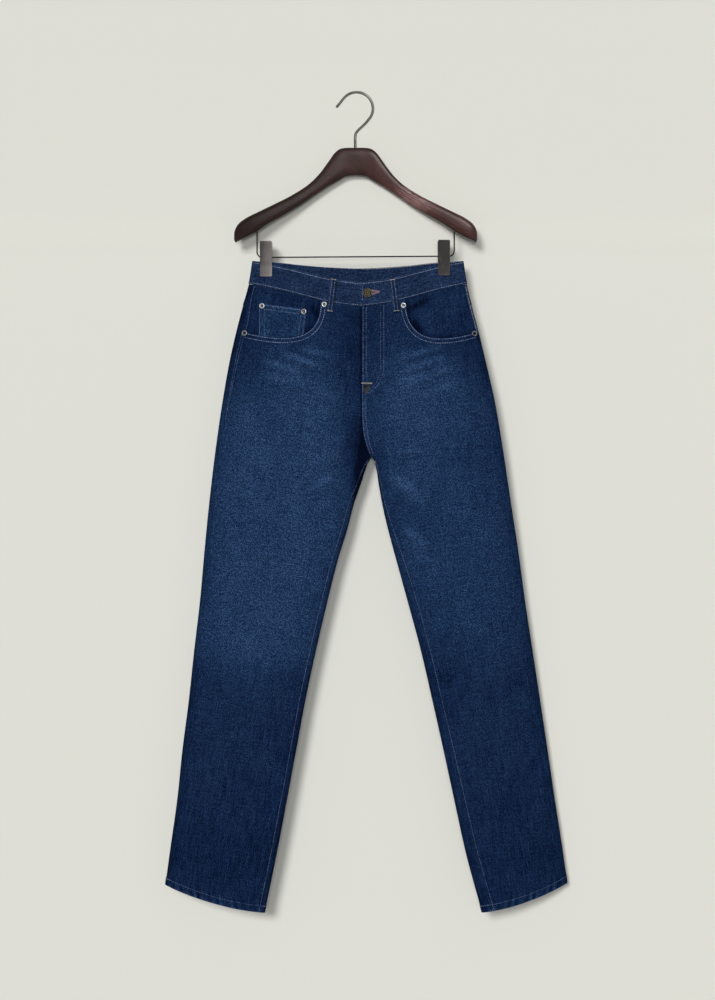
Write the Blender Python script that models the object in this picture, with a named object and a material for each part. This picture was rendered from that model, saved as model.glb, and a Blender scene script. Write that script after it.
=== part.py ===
"""Straight leg jeans hanging from a wooden clip hanger, at real size.

Metres, +Z up. The wearer's right is at -X and the front faces -Y. The origin is the point
inside the top of the hook where a rail carries the hanger.

The cloth is one skin: a front and a back sheet that meet in the side folds and in the
notch of the crotch. Each panel is a wall cut from that skin along the seams of the garment.
"""

import math
from collections import namedtuple

import bpy
import numpy as np

MM = 0.001
RIGHT, LEFT = -1, 1
FRONT, BACK = -1, 1

# ---------------------------------------------------------------- driving dimensions, mm
DENIM = 1.2
SEAM_GAP = 0.3
WAIST_GAP = 0.45
BAND_RAISE = 0.8
BAND_WALL = 2.0
HEM_HEIGHT = 13.0
HEM_RAISE = 0.5
HEM_WALL = 3.0
FLY_RAISE = 0.8
FLY_WIDTH = 27.0
FLY_DEPTH = 126.0
LOOP_WIDTH = 9.8
LOOP_WALL = 2.0
LOOP_LIFT = 0.6
RIVET_RADIUS = 4.5
BUTTON_RADIUS = 7.8
BELT_GAP = 2.2
FACING_LAP = 12.0
POCKET_LIFT = 1.2
POCKET_WIDTH, POCKET_FOOT_WIDTH = 142.0, 122.0
POCKET_SIDE, POCKET_POINT = 128.0, 24.0

NOTCH_X, NOTCH_Z = 24.6, -601.2
CENTRE_FRONT_X, CENTRE_BACK_X = 8.6, 2.0
WAIST_SIDE_Z, WAIST_FRONT_Z, WAIST_BACK_Z = -314.1, -352.5, -325.0
TOP_SIDE_Z, TOP_FRONT_Z, TOP_BACK_Z = -276.0, -312.0, -287.0
YOKE_SIDE_Z, YOKE_BACK_Z = -350.0, -395.0
OVERLAP_END_X, UNDERLAP_END_X = 7.3, 30.0
OVERLAP_RAISE = BAND_WALL + SEAM_GAP

FOLD_RUN = 6.0
FOLD_DEPTH = 4.5
WAIST_FOLD_DEPTH = 3.4
CLIP_X = (-149.4, 144.0)
CLIP_PINCH_WIDTH = 38.0
CLIP_PINCH_FADE = 70.0

# The folds at the sides, down the garment: height, then x of each fold.
Fold = namedtuple("Fold", "z right_outer left_outer")
SIDE_FOLDS = [
    Fold(-276.0, -171.4, 175.6),
    Fold(-314.1, -177.7, 181.8),
    Fold(-340.5, -184.8, 187.4),
    Fold(-390.0, -197.8, 200.5),
    Fold(-439.5, -209.1, 212.5),
    Fold(-505.5, -220.8, 227.5),
    Fold(-588.0, -232.8, 241.7),
    Fold(-670.5, -242.7, 254.3),
    Fold(-753.0, -251.0, 267.1),
    Fold(-835.5, -258.4, 278.5),
    Fold(-918.0, -268.1, 291.1),
    Fold(-1000.5, -277.0, 303.8),
    Fold(-1083.0, -287.6, 316.3),
    Fold(-1165.5, -296.3, 328.5),
    Fold(-1248.0, -307.9, 341.4),
    Fold(-1305.7, -315.8, 349.6),
]

# The folds inside the legs, and how far the inseam lies in front of each fold.
LegFold = namedtuple("LegFold", "z right_inner left_inner right_inset left_inset")
LEG_FOLDS = [
    LegFold(NOTCH_Z, NOTCH_X, NOTCH_X, 0.0, 0.0),
    LegFold(-606.0, 20.6, 30.0, 1.0, 0.5),
    LegFold(-611.0, 18.2, 31.0, 1.8, 0.8),
    LegFold(-622.0, 14.2, 32.8, 3.0, 1.6),
    LegFold(-645.0, 6.6, 36.4, 4.5, 2.4),
    LegFold(-670.5, -2.4, 40.9, 6.0, 3.0),
    LegFold(-720.0, -15.6, 52.1, 7.0, 6.5),
    LegFold(-770.0, -31.0, 65.6, 7.5, 10.0),
    LegFold(-835.5, -47.5, 83.5, 7.5, 12.5),
    LegFold(-918.0, -66.8, 105.7, 7.5, 13.0),
    LegFold(-1000.5, -84.3, 124.7, 7.5, 13.5),
    LegFold(-1083.0, -99.5, 143.1, 7.5, 14.5),
    LegFold(-1165.5, -114.8, 160.9, 7.5, 15.5),
    LegFold(-1248.0, -130.4, 178.9, 7.5, 17.0),
    LegFold(-1348.6, -151.1, 206.1, 7.5, 18.0),
]
OUTSEAM_INSET = {RIGHT: 8.0, LEFT: 1.0}

# How far the waist seam strays from an even slope, as shares of its fall: an S and a bow.
WAIST_SWING, WAIST_LIFT = 0.055, 0.065

# How far each sheet stands off the middle plane, beyond the folds' own roundness.
Fullness = namedtuple("Fullness", "z front back reach")
FULLNESS = [
    Fullness(-276.0, 11.0, 13.0, 120.0),
    Fullness(-350.0, 12.0, 17.0, 115.0),
    Fullness(-420.0, 13.0, 23.0, 110.0),
    Fullness(-500.0, 14.0, 26.0, 100.0),
    Fullness(-600.0, 12.0, 19.0, 85.0),
    Fullness(-700.0, 10.0, 13.0, 75.0),
    Fullness(-868.0, 8.0, 9.0, 70.0),
    Fullness(-1100.0, 7.5, 8.0, 65.0),
    Fullness(-1348.6, 8.5, 8.5, 60.0),
]

# Where the folds of each leg hang, before or behind the middle plane.
Hang = namedtuple("Hang", "z right_outer right_inner left_outer left_inner")
HANGS = [
    Hang(-290.0, 0.0, 0.0, 0.0, 0.0),
    Hang(-600.0, 0.0, 0.0, 0.0, 0.0),
    Hang(-760.0, 1.0, -7.0, 8.0, -4.0),
    Hang(-1000.0, 2.0, -12.0, 16.0, -9.0),
    Hang(-1348.6, 3.0, -15.0, 23.0, -14.0),
]

# Rows of points across each side of the garment: the height at the side fold, at the centre
# front and at the centre back, and how much the row sags between. Below the notch the
# centre is the inner fold of the leg.
Row = namedtuple("Row", "side front back sag")
ROWS = [
    Row(WAIST_SIDE_Z, WAIST_FRONT_Z, WAIST_BACK_Z, 0.0),
    Row(YOKE_SIDE_Z, WAIST_FRONT_Z, YOKE_BACK_Z, 0.0),
    Row(-393.0, WAIST_FRONT_Z, -424.0, 0.0),
    Row(-428.0, -398.0, -453.0, 0.0),
    Row(-462.0, -445.0, -483.0, 0.0),
    Row(-498.0, -489.0, -515.0, 0.0),
    Row(-534.0, -532.0, -548.0, 0.0),
    Row(-561.0, -567.0, -576.0, 0.0),
    Row(-576.0, -588.0, -591.0, 0.0),
    Row(-583.0, -597.0, -598.0, 0.0),
    Row(-586.0, NOTCH_Z, NOTCH_Z, 0.0),
    Row(-592.0, -608.0, -608.0, 0.0),
    Row(-606.0, -623.0, -623.0, 0.0),
    Row(-640.0, -659.0, -659.0, 0.0),
    Row(-695.0, -716.0, -716.0, 0.0),
    Row(-760.0, -783.0, -783.0, 0.5),
    Row(-830.0, -856.0, -856.0, 1.0),
    Row(-905.0, -933.0, -933.0, 1.5),
    Row(-985.0, -1016.0, -1016.0, 2.0),
    Row(-1070.0, -1103.0, -1103.0, 3.0),
    Row(-1155.0, -1191.0, -1191.0, 4.0),
    Row(-1235.0, -1274.0, -1274.0, 5.0),
]
HEM_TOP = Row(-1305.7 + HEM_HEIGHT, -1348.6 + HEM_HEIGHT, -1348.6 + HEM_HEIGHT, 6.0)
HEM_EDGE = Row(-1305.7, -1348.6, -1348.6, 6.5)
HEM_STEP = 0.8
YOKE_ROW, POCKET_ROW, SQUARE_ROW, NOTCH_ROW = 1, 2, 4, 10

# The mouth of each front pocket, a cubic curve from the waist seam round to the outseam.
MOUTHS = {
    RIGHT: [(-59.5, -341.4), (-57.0, -401.0), (-97.0, -417.0), (-189.5, -393.0)],
    LEFT: [(80.0, -339.5), (82.0, -398.0), (112.0, -420.0), (201.0, -393.0)],
}

# Long soft folds of the cloth: the two ends of each, its half width and how far it stands
# out. A negative height is a trough.
Crease = namedtuple("Crease", "side sheet x0 z0 x1 z1 width height")
CREASES = [
    Crease(RIGHT, FRONT, -2.0, -530.0, 17.0, -603.0, 16.0, -5.0),
    Crease(RIGHT, FRONT, -26.0, -520.0, -10.0, -610.0, 17.0, 4.0),
    Crease(RIGHT, FRONT, -80.0, -655.0, -25.0, -632.0, 13.0, 2.6),
    Crease(LEFT, FRONT, 50.0, -620.0, 118.0, -680.0, 14.0, 3.0),
    Crease(LEFT, FRONT, 75.0, -712.0, 122.0, -752.0, 14.0, 2.4),
    Crease(RIGHT, FRONT, -95.0, -850.0, -190.0, -880.0, 24.0, 2.2),
    Crease(LEFT, FRONT, 140.0, -905.0, 230.0, -880.0, 24.0, 2.2),
    Crease(RIGHT, BACK, -30.0, -640.0, -120.0, -600.0, 18.0, 4.0),
    Crease(LEFT, BACK, 60.0, -640.0, 150.0, -596.0, 18.0, 4.0),
    Crease(RIGHT, BACK, -80.0, -860.0, -190.0, -885.0, 24.0, 4.0),
    Crease(LEFT, BACK, 130.0, -860.0, 240.0, -890.0, 24.0, 4.0),
]

# ---------------------------------------------------------------- hanger, mm
WOOD_CENTRE_X = -1.5
WOOD_END_X = 200.6
BAR_Z, BAR_RADIUS = -269.6, 1.3
DROP_X = (-164.2, 161.2)
DROP_TOP_Z = -229.6
DROP_BEND = 9.0
HOOK_WIRE = 2.3
HOOK_RADIUS = 27.0
CLIP_WIDTH, CLIP_TOP_Z, CLIP_FOOT_Z = 19.8, -243.5, -301.5
CLIP_PLATE = 1.2
CLIP_JAW_Y, CLIP_BAR_Y, CLIP_GRIP_Y = 4.9, 7.2, 9.6
SPRING_RADIUS, SPRING_HALF = 4.6, 7.0

# The hanger's arm from its middle to its tip: the points on its upper and lower edges and
# its half thickness there.
Slice = namedtuple("Slice", "top_x top_z low_x low_z half")
ARM = [
    Slice(0.0, -89.5, 0.0, -134.8, 6.5),
    Slice(16.0, -89.5, 10.5, -135.6, 6.5),
    Slice(26.0, -91.5, 18.0, -137.4, 6.7),
    Slice(34.0, -97.4, 24.6, -141.3, 7.0),
    Slice(47.0, -115.2, 38.0, -149.2, 7.5),
    Slice(60.5, -133.2, 50.3, -156.8, 8.0),
    Slice(79.0, -151.0, 68.0, -168.8, 8.8),
    Slice(107.0, -168.9, 91.8, -185.4, 10.0),
    Slice(133.0, -182.1, 116.0, -200.0, 11.0),
    Slice(160.0, -195.2, 141.0, -214.0, 12.0),
    Slice(181.0, -205.8, 164.5, -229.0, 12.5),
    Slice(194.0, -216.0, 182.5, -238.5, 11.5),
    Slice(200.0, -228.0, 193.0, -243.0, 9.0),
    Slice(WOOD_END_X, -238.0, 197.0, -245.0, 5.5),
]

# ---------------------------------------------------------------- colours of the finishes
FINISHES = {
    "denim": ((0.012, 0.033, 0.095), 0.85, 0.0),
    "denim_dark": ((0.007, 0.020, 0.060), 0.88, 0.0),
    "rivet_metal": ((0.62, 0.61, 0.58), 0.32, 1.0),
    "button_metal": ((0.16, 0.13, 0.09), 0.38, 1.0),
    "walnut": ((0.060, 0.022, 0.017), 0.32, 0.0),
    "hook_metal": ((0.28, 0.28, 0.25), 0.34, 1.0),
    "clip_metal": ((0.12, 0.115, 0.112), 0.42, 1.0),
}


# ---------------------------------------------------------------- reading the tables
def smooth(table, column, z):
    """One column of a table at the heights z, along a curve through the table's rows."""
    heights = np.array([row.z for row in table])[::-1]
    values = np.array([getattr(row, column) for row in table])[::-1]
    slopes = np.gradient(values, heights)
    z = np.clip(z, heights[0], heights[-1])
    at = np.clip(np.searchsorted(heights, z) - 1, 0, len(heights) - 2)
    step = heights[at + 1] - heights[at]
    t = (z - heights[at]) / step
    start, end = values[at], values[at + 1]
    return (
        (2 * t**3 - 3 * t**2 + 1) * start
        + (t**3 - 2 * t**2 + t) * step * slopes[at]
        + (3 * t**2 - 2 * t**3) * end
        + (t**3 - t**2) * step * slopes[at + 1]
    )


def outer_fold(side, z):
    column = "right_outer" if side == RIGHT else "left_outer"
    slope = -0.148 if side == RIGHT else 0.142
    below = np.minimum(z - SIDE_FOLDS[-1].z, 0)
    return smooth(SIDE_FOLDS, column, z) - slope * below


def inner_fold(side, z):
    return smooth(LEG_FOLDS, "right_inner" if side == RIGHT else "left_inner", z)


def inseam_inset(side, z):
    return smooth(LEG_FOLDS, "right_inset" if side == RIGHT else "left_inset", z)


def centre_x(z, sheet):
    """The centre front or centre back seam, which leans over to the notch."""
    top = CENTRE_FRONT_X if sheet == FRONT else CENTRE_BACK_X
    lean = np.clip((-500.0 - z) / (-500.0 - NOTCH_Z), 0, 1)
    return top + (NOTCH_X - top) * lean**3.5


# ---------------------------------------------------------------- the skin of the garment
def fold_distance(side, x, z):
    """How far a point lies inside the nearest fold, in the plane of the garment."""
    step = 0.5
    slope = (outer_fold(side, z + step) - outer_fold(side, z - step)) / (2 * step)
    outer = side * (outer_fold(side, z) - x) / np.sqrt(1 + slope**2)
    slope = (inner_fold(side, z + step) - inner_fold(side, z - step)) / (2 * step)
    near_notch = np.clip((NOTCH_Z - z) / 20.0, 0, 1)
    inner = side * (x - inner_fold(side, z)) / np.sqrt(1 + near_notch * slope**2)
    notch = np.hypot(x - NOTCH_X, z - NOTCH_Z)
    return np.minimum(outer, np.where(z >= NOTCH_Z, notch, inner))


def fold_depth(z):
    return FOLD_DEPTH - (FOLD_DEPTH - WAIST_FOLD_DEPTH) * np.clip((z + 400.0) / 90.0, 0, 1)


def creases(side, x, z, sheet):
    """How far the long soft folds stand out of one sheet."""
    total = np.zeros(np.broadcast(x, z).shape)
    for fold in CREASES:
        if fold.side != side or fold.sheet != sheet:
            continue
        along_x, along_z = fold.x1 - fold.x0, fold.z1 - fold.z0
        length = math.hypot(along_x, along_z)
        along = ((x - fold.x0) * along_x + (z - fold.z0) * along_z) / length**2
        across = ((x - fold.x0) * along_z - (z - fold.z0) * along_x) / length
        ends = np.clip(1 - (2 * along - 1) ** 2, 0, 1) ** 0.75
        total = total + fold.height * ends * np.exp(-((across / fold.width) ** 2))
    return total


def body(side, x, z, sheet):
    """The skin's y without the roundness of the folds themselves."""
    full = smooth(FULLNESS, "front" if sheet == FRONT else "back", z)
    reach = smooth(FULLNESS, "reach", z)
    inside = np.clip(fold_distance(side, x, z) / reach, 0, 1)
    pinch = np.exp(-np.maximum(WAIST_SIDE_Z - z, 0) / CLIP_PINCH_FADE)
    for clip_x in CLIP_X:
        width = CLIP_PINCH_WIDTH + 0.35 * np.maximum(WAIST_SIDE_Z - z, 0)
        full = full * (1 - pinch * np.exp(-(((x - clip_x) / width) ** 4)))
    side_name = "right" if side == RIGHT else "left"
    outer_y = smooth(HANGS, side_name + "_outer", z)
    inner_y = smooth(HANGS, side_name + "_inner", z)
    inner_x = inner_fold(side, z)
    across = np.clip((x - inner_x) / (outer_fold(side, z) - inner_x), 0, 1)
    middle = inner_y + (outer_y - inner_y) * across
    full = full * np.sin(math.pi / 2 * inside)
    return middle + sheet * (full + creases(side, x, z, sheet) * np.minimum(inside * 5, 1))


def skin(side, x, z, sheet, out=0.0):
    """Points of the skin in mm, moved out along its normal by out."""
    x, z, sheet, out = np.broadcast_arrays(*(np.asarray(a, float) for a in (x, z, sheet, out)))
    front = sheet == FRONT

    def bodies(px, pz):
        return np.where(front, body(side, px, pz, FRONT), body(side, px, pz, BACK))

    distance = np.maximum(fold_distance(side, x, z) - 0.01, 0)
    depth = fold_depth(z)
    run = np.minimum(distance / FOLD_RUN, 1)
    rise = np.sqrt(1 - (1 - run) ** 2)
    y = bodies(x, z) + sheet * depth * rise
    e = 0.05
    body_x = (bodies(x + e, z) - bodies(x - e, z)) / (2 * e)
    body_z = (bodies(x, z + e) - bodies(x, z - e)) / (2 * e)
    far_x = (fold_distance(side, x + e, z) - fold_distance(side, x - e, z)) / (2 * e)
    far_z = (fold_distance(side, x, z + e) - fold_distance(side, x, z - e)) / (2 * e)
    turn = depth / FOLD_RUN * (1 - run)
    normal = np.stack(
        [-rise * sheet * body_x - turn * far_x, rise * sheet, -rise * sheet * body_z - turn * far_z],
        axis=-1,
    )
    normal /= np.linalg.norm(normal, axis=-1, keepdims=True)
    return np.stack([x, y, z], axis=-1) + out[..., None] * normal


# ---------------------------------------------------------------- rows across a panel
def spread(start, end, middle, length):
    """Distances along a row: the given steps at its two ends and even steps between."""
    start = np.array(start, float)
    end = length - np.array(end, float)[::-1]
    between = np.linspace(start[-1], end[0], middle + 2)[1:-1]
    return np.concatenate([start, between, end])


def row_z(row, side, x, sheet):
    """The height of a row at x."""
    centre_z = row.front if sheet == FRONT else row.back
    fold_x = outer_fold(side, row.side)
    if centre_z >= NOTCH_Z:
        centre = centre_x(centre_z, sheet)
    else:
        centre = inner_fold(side, centre_z)
    t = np.clip((x - fold_x) / (centre - fold_x), 0, 1)
    swing = WAIST_SWING * np.sin(2 * math.pi * t) - WAIST_LIFT * np.sin(math.pi * t)
    curve = t - swing * np.clip((row.side - YOKE_SIDE_Z) / 36.0, 0, 1)
    return row.side + (centre_z - row.side) * curve - row.sag * 4 * t * (1 - t)


def row_points(path, distances):
    """x and sheet at distances along a path of (x, sheet) corners. A stretch is on the
    sheet of its first corner."""
    corners = np.array(path, float)
    lengths = np.abs(corners[1:, 0] - corners[:-1, 0])
    ends = np.concatenate([[0], np.cumsum(lengths)])
    at = np.clip(np.searchsorted(ends, distances, side="right") - 1, 0, len(lengths) - 1)
    t = (distances - ends[at]) / np.maximum(lengths[at], 1e-9)
    x = corners[at, 0] * (1 - t) + corners[at + 1, 0] * t
    return x, corners[at, 1]


def path_length(path):
    corners = np.array(path, float)
    return float(np.abs(corners[1:, 0] - corners[:-1, 0]).sum())


def lay_row(side, row, path, distances):
    """The row's points as (x, z, sheet)."""
    x, sheet = row_points(path, distances)
    z = np.where(
        sheet == FRONT, row_z(row, side, x, FRONT), row_z(row, side, x, BACK)
    )
    return np.stack([x, z, sheet], axis=-1)


def outseam_x(side, z):
    return outer_fold(side, z) - side * OUTSEAM_INSET[side]


def front_row(side, row):
    """A front panel's row, from the outseam to the centre front or the inseam."""
    gap = side * SEAM_GAP / 2
    if row.front >= NOTCH_Z:
        end_x = centre_x(row.front, FRONT)
    else:
        end_x = inner_fold(side, row.front) + side * inseam_inset(side, row.front)
    leg = np.clip((WAIST_FRONT_Z - FLY_DEPTH - row.front) / 100.0, 0, 1)
    fly_steps = np.array([0, 13, FLY_WIDTH, FLY_WIDTH + 1.5])
    ends = fly_steps * (1 - leg) + np.array([0, 4, 11, 20]) * leg
    path = [(outseam_x(side, row.side) - gap, FRONT), (end_x + gap, FRONT)]
    distances = spread([0, 2.5, 6, 16], ends, 8, path_length(path))
    return lay_row(side, row, path, distances)


def back_row(side, row):
    """A back panel's row, from the outseam round the fold to the centre back, or round
    the inner fold to the inseam."""
    gap = SEAM_GAP / 2
    fold_x = outer_fold(side, row.side)
    wrap = OUTSEAM_INSET[side] - gap
    path = [(fold_x - side * wrap, FRONT), (fold_x, BACK)]
    if row.back >= NOTCH_Z:
        path.append((centre_x(row.back, BACK) + side * gap, BACK))
        far = 4.0
    else:
        inner_x = inner_fold(side, row.back)
        inset = inseam_inset(side, row.back) - gap
        if inset > 0:
            path += [(inner_x, FRONT), (inner_x + side * inset, FRONT)]
        else:
            path.append((inner_x - side * inset, BACK))
        far = max(inset, 4.0)
    starts = [0, wrap * 0.55, wrap, wrap + 1.2, wrap + 4, wrap + 9, wrap + 22]
    ends = [0, far * 0.55, far, far + 1.2, far + 4, far + 10]
    distances = spread(starts, ends, 5, path_length(path))
    return lay_row(side, row, path, distances)


def mouth_point(side, t):
    """x and z on the pocket's mouth, from the waist seam at 0 to the outseam at 1."""
    a, b, c, d = (np.array(p) for p in MOUTHS[side])
    t = np.asarray(t, float)[..., None]
    return (1 - t) ** 3 * a + 3 * t * (1 - t) ** 2 * b + 3 * t**2 * (1 - t) * c + t**3 * d


def waist_line_z(side, x):
    """Height of the front waist seam."""
    return row_z(ROWS[0], side, x, FRONT)


# ---------------------------------------------------------------- making meshes
def material(name):
    found = bpy.data.materials.get(name)
    if found:
        return found
    colour, roughness, metallic = FINISHES[name]
    made = bpy.data.materials.new(name)
    made.use_nodes = True
    shader = made.node_tree.nodes["Principled BSDF"]
    shader.inputs["Base Color"].default_value = (*colour, 1)
    shader.inputs["Roughness"].default_value = roughness
    shader.inputs["Metallic"].default_value = metallic
    made.diffuse_color = (*colour, 1)
    return made


def mesh_object(name, points, faces, finish):
    """An object from points in millimetres."""
    mesh = bpy.data.meshes.new(name)
    mesh.from_pydata((np.asarray(points) * MM).tolist(), [], faces)
    mesh.validate()
    mesh.shade_smooth()
    mesh.set_sharp_from_angle(angle=math.radians(40))
    mesh.materials.append(material(finish))
    made = bpy.data.objects.new(name, mesh)
    bpy.context.scene.collection.objects.link(made)
    return made


def wall(name, outer, inner, finish):
    """A closed wall between two grids of points. The outer grid's normals face out where its
    rows run to the right of its columns; otherwise the faces are turned round."""
    rows, columns = outer.shape[:2]
    count = rows * columns
    index = np.arange(count).reshape(rows, columns)
    a, b, c, d = index[:-1, :-1], index[:-1, 1:], index[1:, 1:], index[1:, :-1]
    sheet = np.concatenate(
        [np.stack([a, b, c], -1).reshape(-1, 3), np.stack([a, c, d], -1).reshape(-1, 3)]
    )
    rim = np.concatenate([index[0, :], index[1:, -1], index[-1, -2::-1], index[-2:0:-1, 0]])
    following = np.roll(rim, -1)
    edge = np.concatenate(
        [
            np.stack([rim, rim + count, following + count], -1),
            np.stack([rim, following + count, following], -1),
        ]
    )
    faces = np.concatenate([sheet, sheet[:, ::-1] + count, edge])
    points = np.concatenate([outer.reshape(-1, 3), inner.reshape(-1, 3)])
    corners = points[faces]
    if np.einsum("ij,ij->", corners[:, 0], np.cross(corners[:, 1], corners[:, 2])) < 0:
        faces = faces[:, ::-1]
    return mesh_object(name, points, faces.tolist(), finish)


def skin_wall(name, side, grid, outer_out, inner_out, finish):
    """A wall of the garment's skin over a grid of (x, z, sheet)."""
    x, z, sheet = grid[..., 0], grid[..., 1], grid[..., 2]
    return wall(
        name, skin(side, x, z, sheet, outer_out), skin(side, x, z, sheet, inner_out), finish
    )


def lathe(name, profile, segments, centre, axis, finish):
    """A solid turned about an axis through centre: profile is (radius, height) from the
    foot's middle to the top's middle, both on the axis."""
    axis = np.array(axis, float) / np.linalg.norm(axis)
    across = np.cross(axis, (0, 0, 1) if abs(axis[2]) < 0.9 else (1, 0, 0))
    across /= np.linalg.norm(across)
    other = np.cross(axis, across)
    angles = np.arange(segments) * 2 * math.pi / segments
    ring = np.outer(np.cos(angles), across) + np.outer(np.sin(angles), other)
    points, rings = [], []
    for radius, height in profile:
        start = len(points)
        if radius == 0:
            points.append(centre + axis * height)
            rings.append([start] * segments)
        else:
            points.extend(centre + axis * height + ring * radius)
            rings.append(list(range(start, start + segments)))
    faces = []
    for low, high in zip(rings, rings[1:]):
        for i in range(segments):
            j = (i + 1) % segments
            face = [low[i], low[j], high[j], high[i]]
            faces.append(list(dict.fromkeys(face)))
    return mesh_object(name, points, faces, finish)


# ---------------------------------------------------------------- cloth pieces
def leg_rows():
    """The rows below the waist with the hem's own, and the walls' outer and inner offsets."""
    rows = ROWS + [HEM_TOP, HEM_TOP._replace(side=HEM_TOP.side - HEM_STEP), HEM_EDGE]
    rows[-2] = Row(HEM_TOP.side - HEM_STEP, HEM_TOP.front - HEM_STEP, HEM_TOP.back - HEM_STEP, 6.0)
    plain = len(ROWS) + 1
    outer = [0.0] * plain + [HEM_RAISE] * 2
    inner = [-DENIM] * plain + [HEM_RAISE - HEM_WALL] * 2
    return rows, np.array(outer), np.array(inner)


def mouth_edge(side):
    """The corners of the front panel's edge along the pocket's mouth, from the outseam."""
    t = np.concatenate([[1.0, 0.985], np.linspace(0.965, 0.0, 9)])
    edge = mouth_point(side, t)
    edge[0, 0] = outseam_x(side, edge[0, 1]) - side * SEAM_GAP / 2
    edge[1, 0] = edge[0, 0] - side * 2.5
    return edge


def front_panel(name, side):
    """A front, whose top edge is the pocket's mouth and then the waist seam."""
    rows, outer, inner = leg_rows()
    rows, outer, inner = rows[POCKET_ROW:], outer[POCKET_ROW:], inner[POCKET_ROW:]
    grid = np.stack([front_row(side, row) for row in rows])
    columns = grid.shape[1]
    edge = mouth_edge(side)
    corner = len(edge) - 1
    top = grid[0].copy()
    top[: corner + 1, :2] = edge
    top[corner + 1 :, 0] = CENTRE_FRONT_X + side * (
        SEAM_GAP / 2 + np.array([FLY_WIDTH + 18, FLY_WIDTH + 1.5, FLY_WIDTH, 13, 0])
    )
    top[corner:, 1] = waist_line_z(side, top[corner:, 0]) - WAIST_GAP
    square = SQUARE_ROW - POCKET_ROW
    fixed = grid[square].copy()
    for j in range(square):
        share = j / square
        grid[j, :, :2] = top[:, :2] * (1 - share) + fixed[:, :2] * share
        grid[j, 0, 0] = outseam_x(side, grid[j, 0, 1]) - side * SEAM_GAP / 2
    outer = np.repeat(outer[:, None], columns, 1)
    if side == LEFT:
        outer = outer + fly_raise(grid)
    return skin_wall(name, side, grid, outer, np.repeat(inner[:, None], columns, 1), "denim")


def fly_raise(grid):
    """The fly's extra thickness: a strip along the centre front with a round lower end."""
    along = grid[..., 0] - centre_x(grid[..., 1], FRONT)
    down = WAIST_FRONT_Z - grid[..., 1]
    width = FLY_WIDTH * np.sqrt(np.clip(1 - (np.maximum(down - 75, 0) / 55.0) ** 2, 0, 1))
    inside = (along < width + 0.5) & (down < FLY_DEPTH)
    return np.where(inside, FLY_RAISE, 0.0)


def back_panel(name, side):
    rows, outer, inner = leg_rows()
    rows, outer, inner = rows[YOKE_ROW:], outer[YOKE_ROW:], inner[YOKE_ROW:]
    grid = np.stack([back_row(side, row) for row in rows])
    columns = grid.shape[1]
    outer, inner = np.repeat(outer[:, None], columns, 1), np.repeat(inner[:, None], columns, 1)
    return skin_wall(name, side, grid, outer, inner, "denim")


def yoke(name, side):
    """The shaped strip between the waistband and the back, deeper at the centre."""
    grid = []
    for share in (0.0, 0.35, 0.7, 1.0):
        top, low = back_row(side, ROWS[0]), back_row(side, ROWS[YOKE_ROW])
        top[:, 1] -= WAIST_GAP
        low[:, 1] += SEAM_GAP
        row = top * (1 - share) + low * share
        row[0, 0] = outseam_x(side, row[0, 1]) + side * SEAM_GAP / 2
        grid.append(row)
    return skin_wall(name, side, np.stack(grid), 0.0, -DENIM, "denim")


def band_row(share):
    """One row of the waistband, its right and left halves."""

    def height(low, high):
        return low + (high - low) * share

    return Row(
        height(WAIST_SIDE_Z, TOP_SIDE_Z),
        height(WAIST_FRONT_Z, TOP_FRONT_Z),
        height(WAIST_BACK_Z, TOP_BACK_Z),
        0.0,
    )


def band_lap(x, sheet):
    """How far the band's left end is lifted over its right end."""
    rise = np.clip((50.0 - x) / 19.0, 0, 1)
    return np.where(sheet == FRONT, OVERLAP_RAISE * rise * rise * (3 - 2 * rise), 0.0)


def waistband(name):
    """One strip sewn on round the top, its left end lapped over its right."""
    right_grid, left_grid = [], []
    for share in (0.0, 0.5, 1.0):
        row = band_row(share)
        path = [(UNDERLAP_END_X, FRONT), (outer_fold(RIGHT, row.side), BACK), (CENTRE_BACK_X, BACK)]
        fold = path_length(path[:2])
        steps = np.concatenate(
            [
                np.linspace(0, fold - 92, 7),
                fold - np.array([74, 58, 46, 36, 26, 16, 8, 3, 1, 0]),
                fold + np.array([1, 3, 8, 16, 26, 36, 46, 58, 74, 92, 115]),
                [(fold + 115 + path_length(path)) / 2, path_length(path)],
            ]
        )
        laid = lay_row(RIGHT, row, path, steps)
        under = (laid[:, 0] > CENTRE_FRONT_X) & (laid[:, 2] == FRONT)
        laid[under, 1] = row_z(row, LEFT, laid[under, 0], FRONT)
        right_grid.append(laid)
        left_x = outer_fold(LEFT, row.side)
        path = [(CENTRE_BACK_X, BACK), (left_x, FRONT), (OVERLAP_END_X, FRONT)]
        fold, length = left_x - CENTRE_BACK_X, path_length(path)
        steps = np.concatenate(
            [
                np.linspace(0, fold - 92, 4)[1:],
                fold - np.array([74, 58, 46, 36, 26, 16, 8, 3, 1, 0]),
                fold + np.array([1, 3, 8, 16, 26, 36, 46, 58, 74, 92, 109]),
                length - np.array([43.5, 36, 30, 23, 12, 0]),
            ]
        )
        left_grid.append(lay_row(LEFT, row, path, steps))
    outer, inner = [], []
    for side, rows in ((RIGHT, right_grid), (LEFT, left_grid)):
        grid = np.stack(rows)
        x, z, sheet = grid[..., 0], grid[..., 1], grid[..., 2]
        lap = band_lap(x, sheet) if side == LEFT else np.zeros_like(x)
        outer.append(skin(side, x, z, sheet, BAND_RAISE + lap))
        inner.append(skin(side, x, z, sheet, BAND_RAISE - BAND_WALL + lap))
    return wall(name, np.concatenate(outer, axis=1), np.concatenate(inner, axis=1), "denim")


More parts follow.
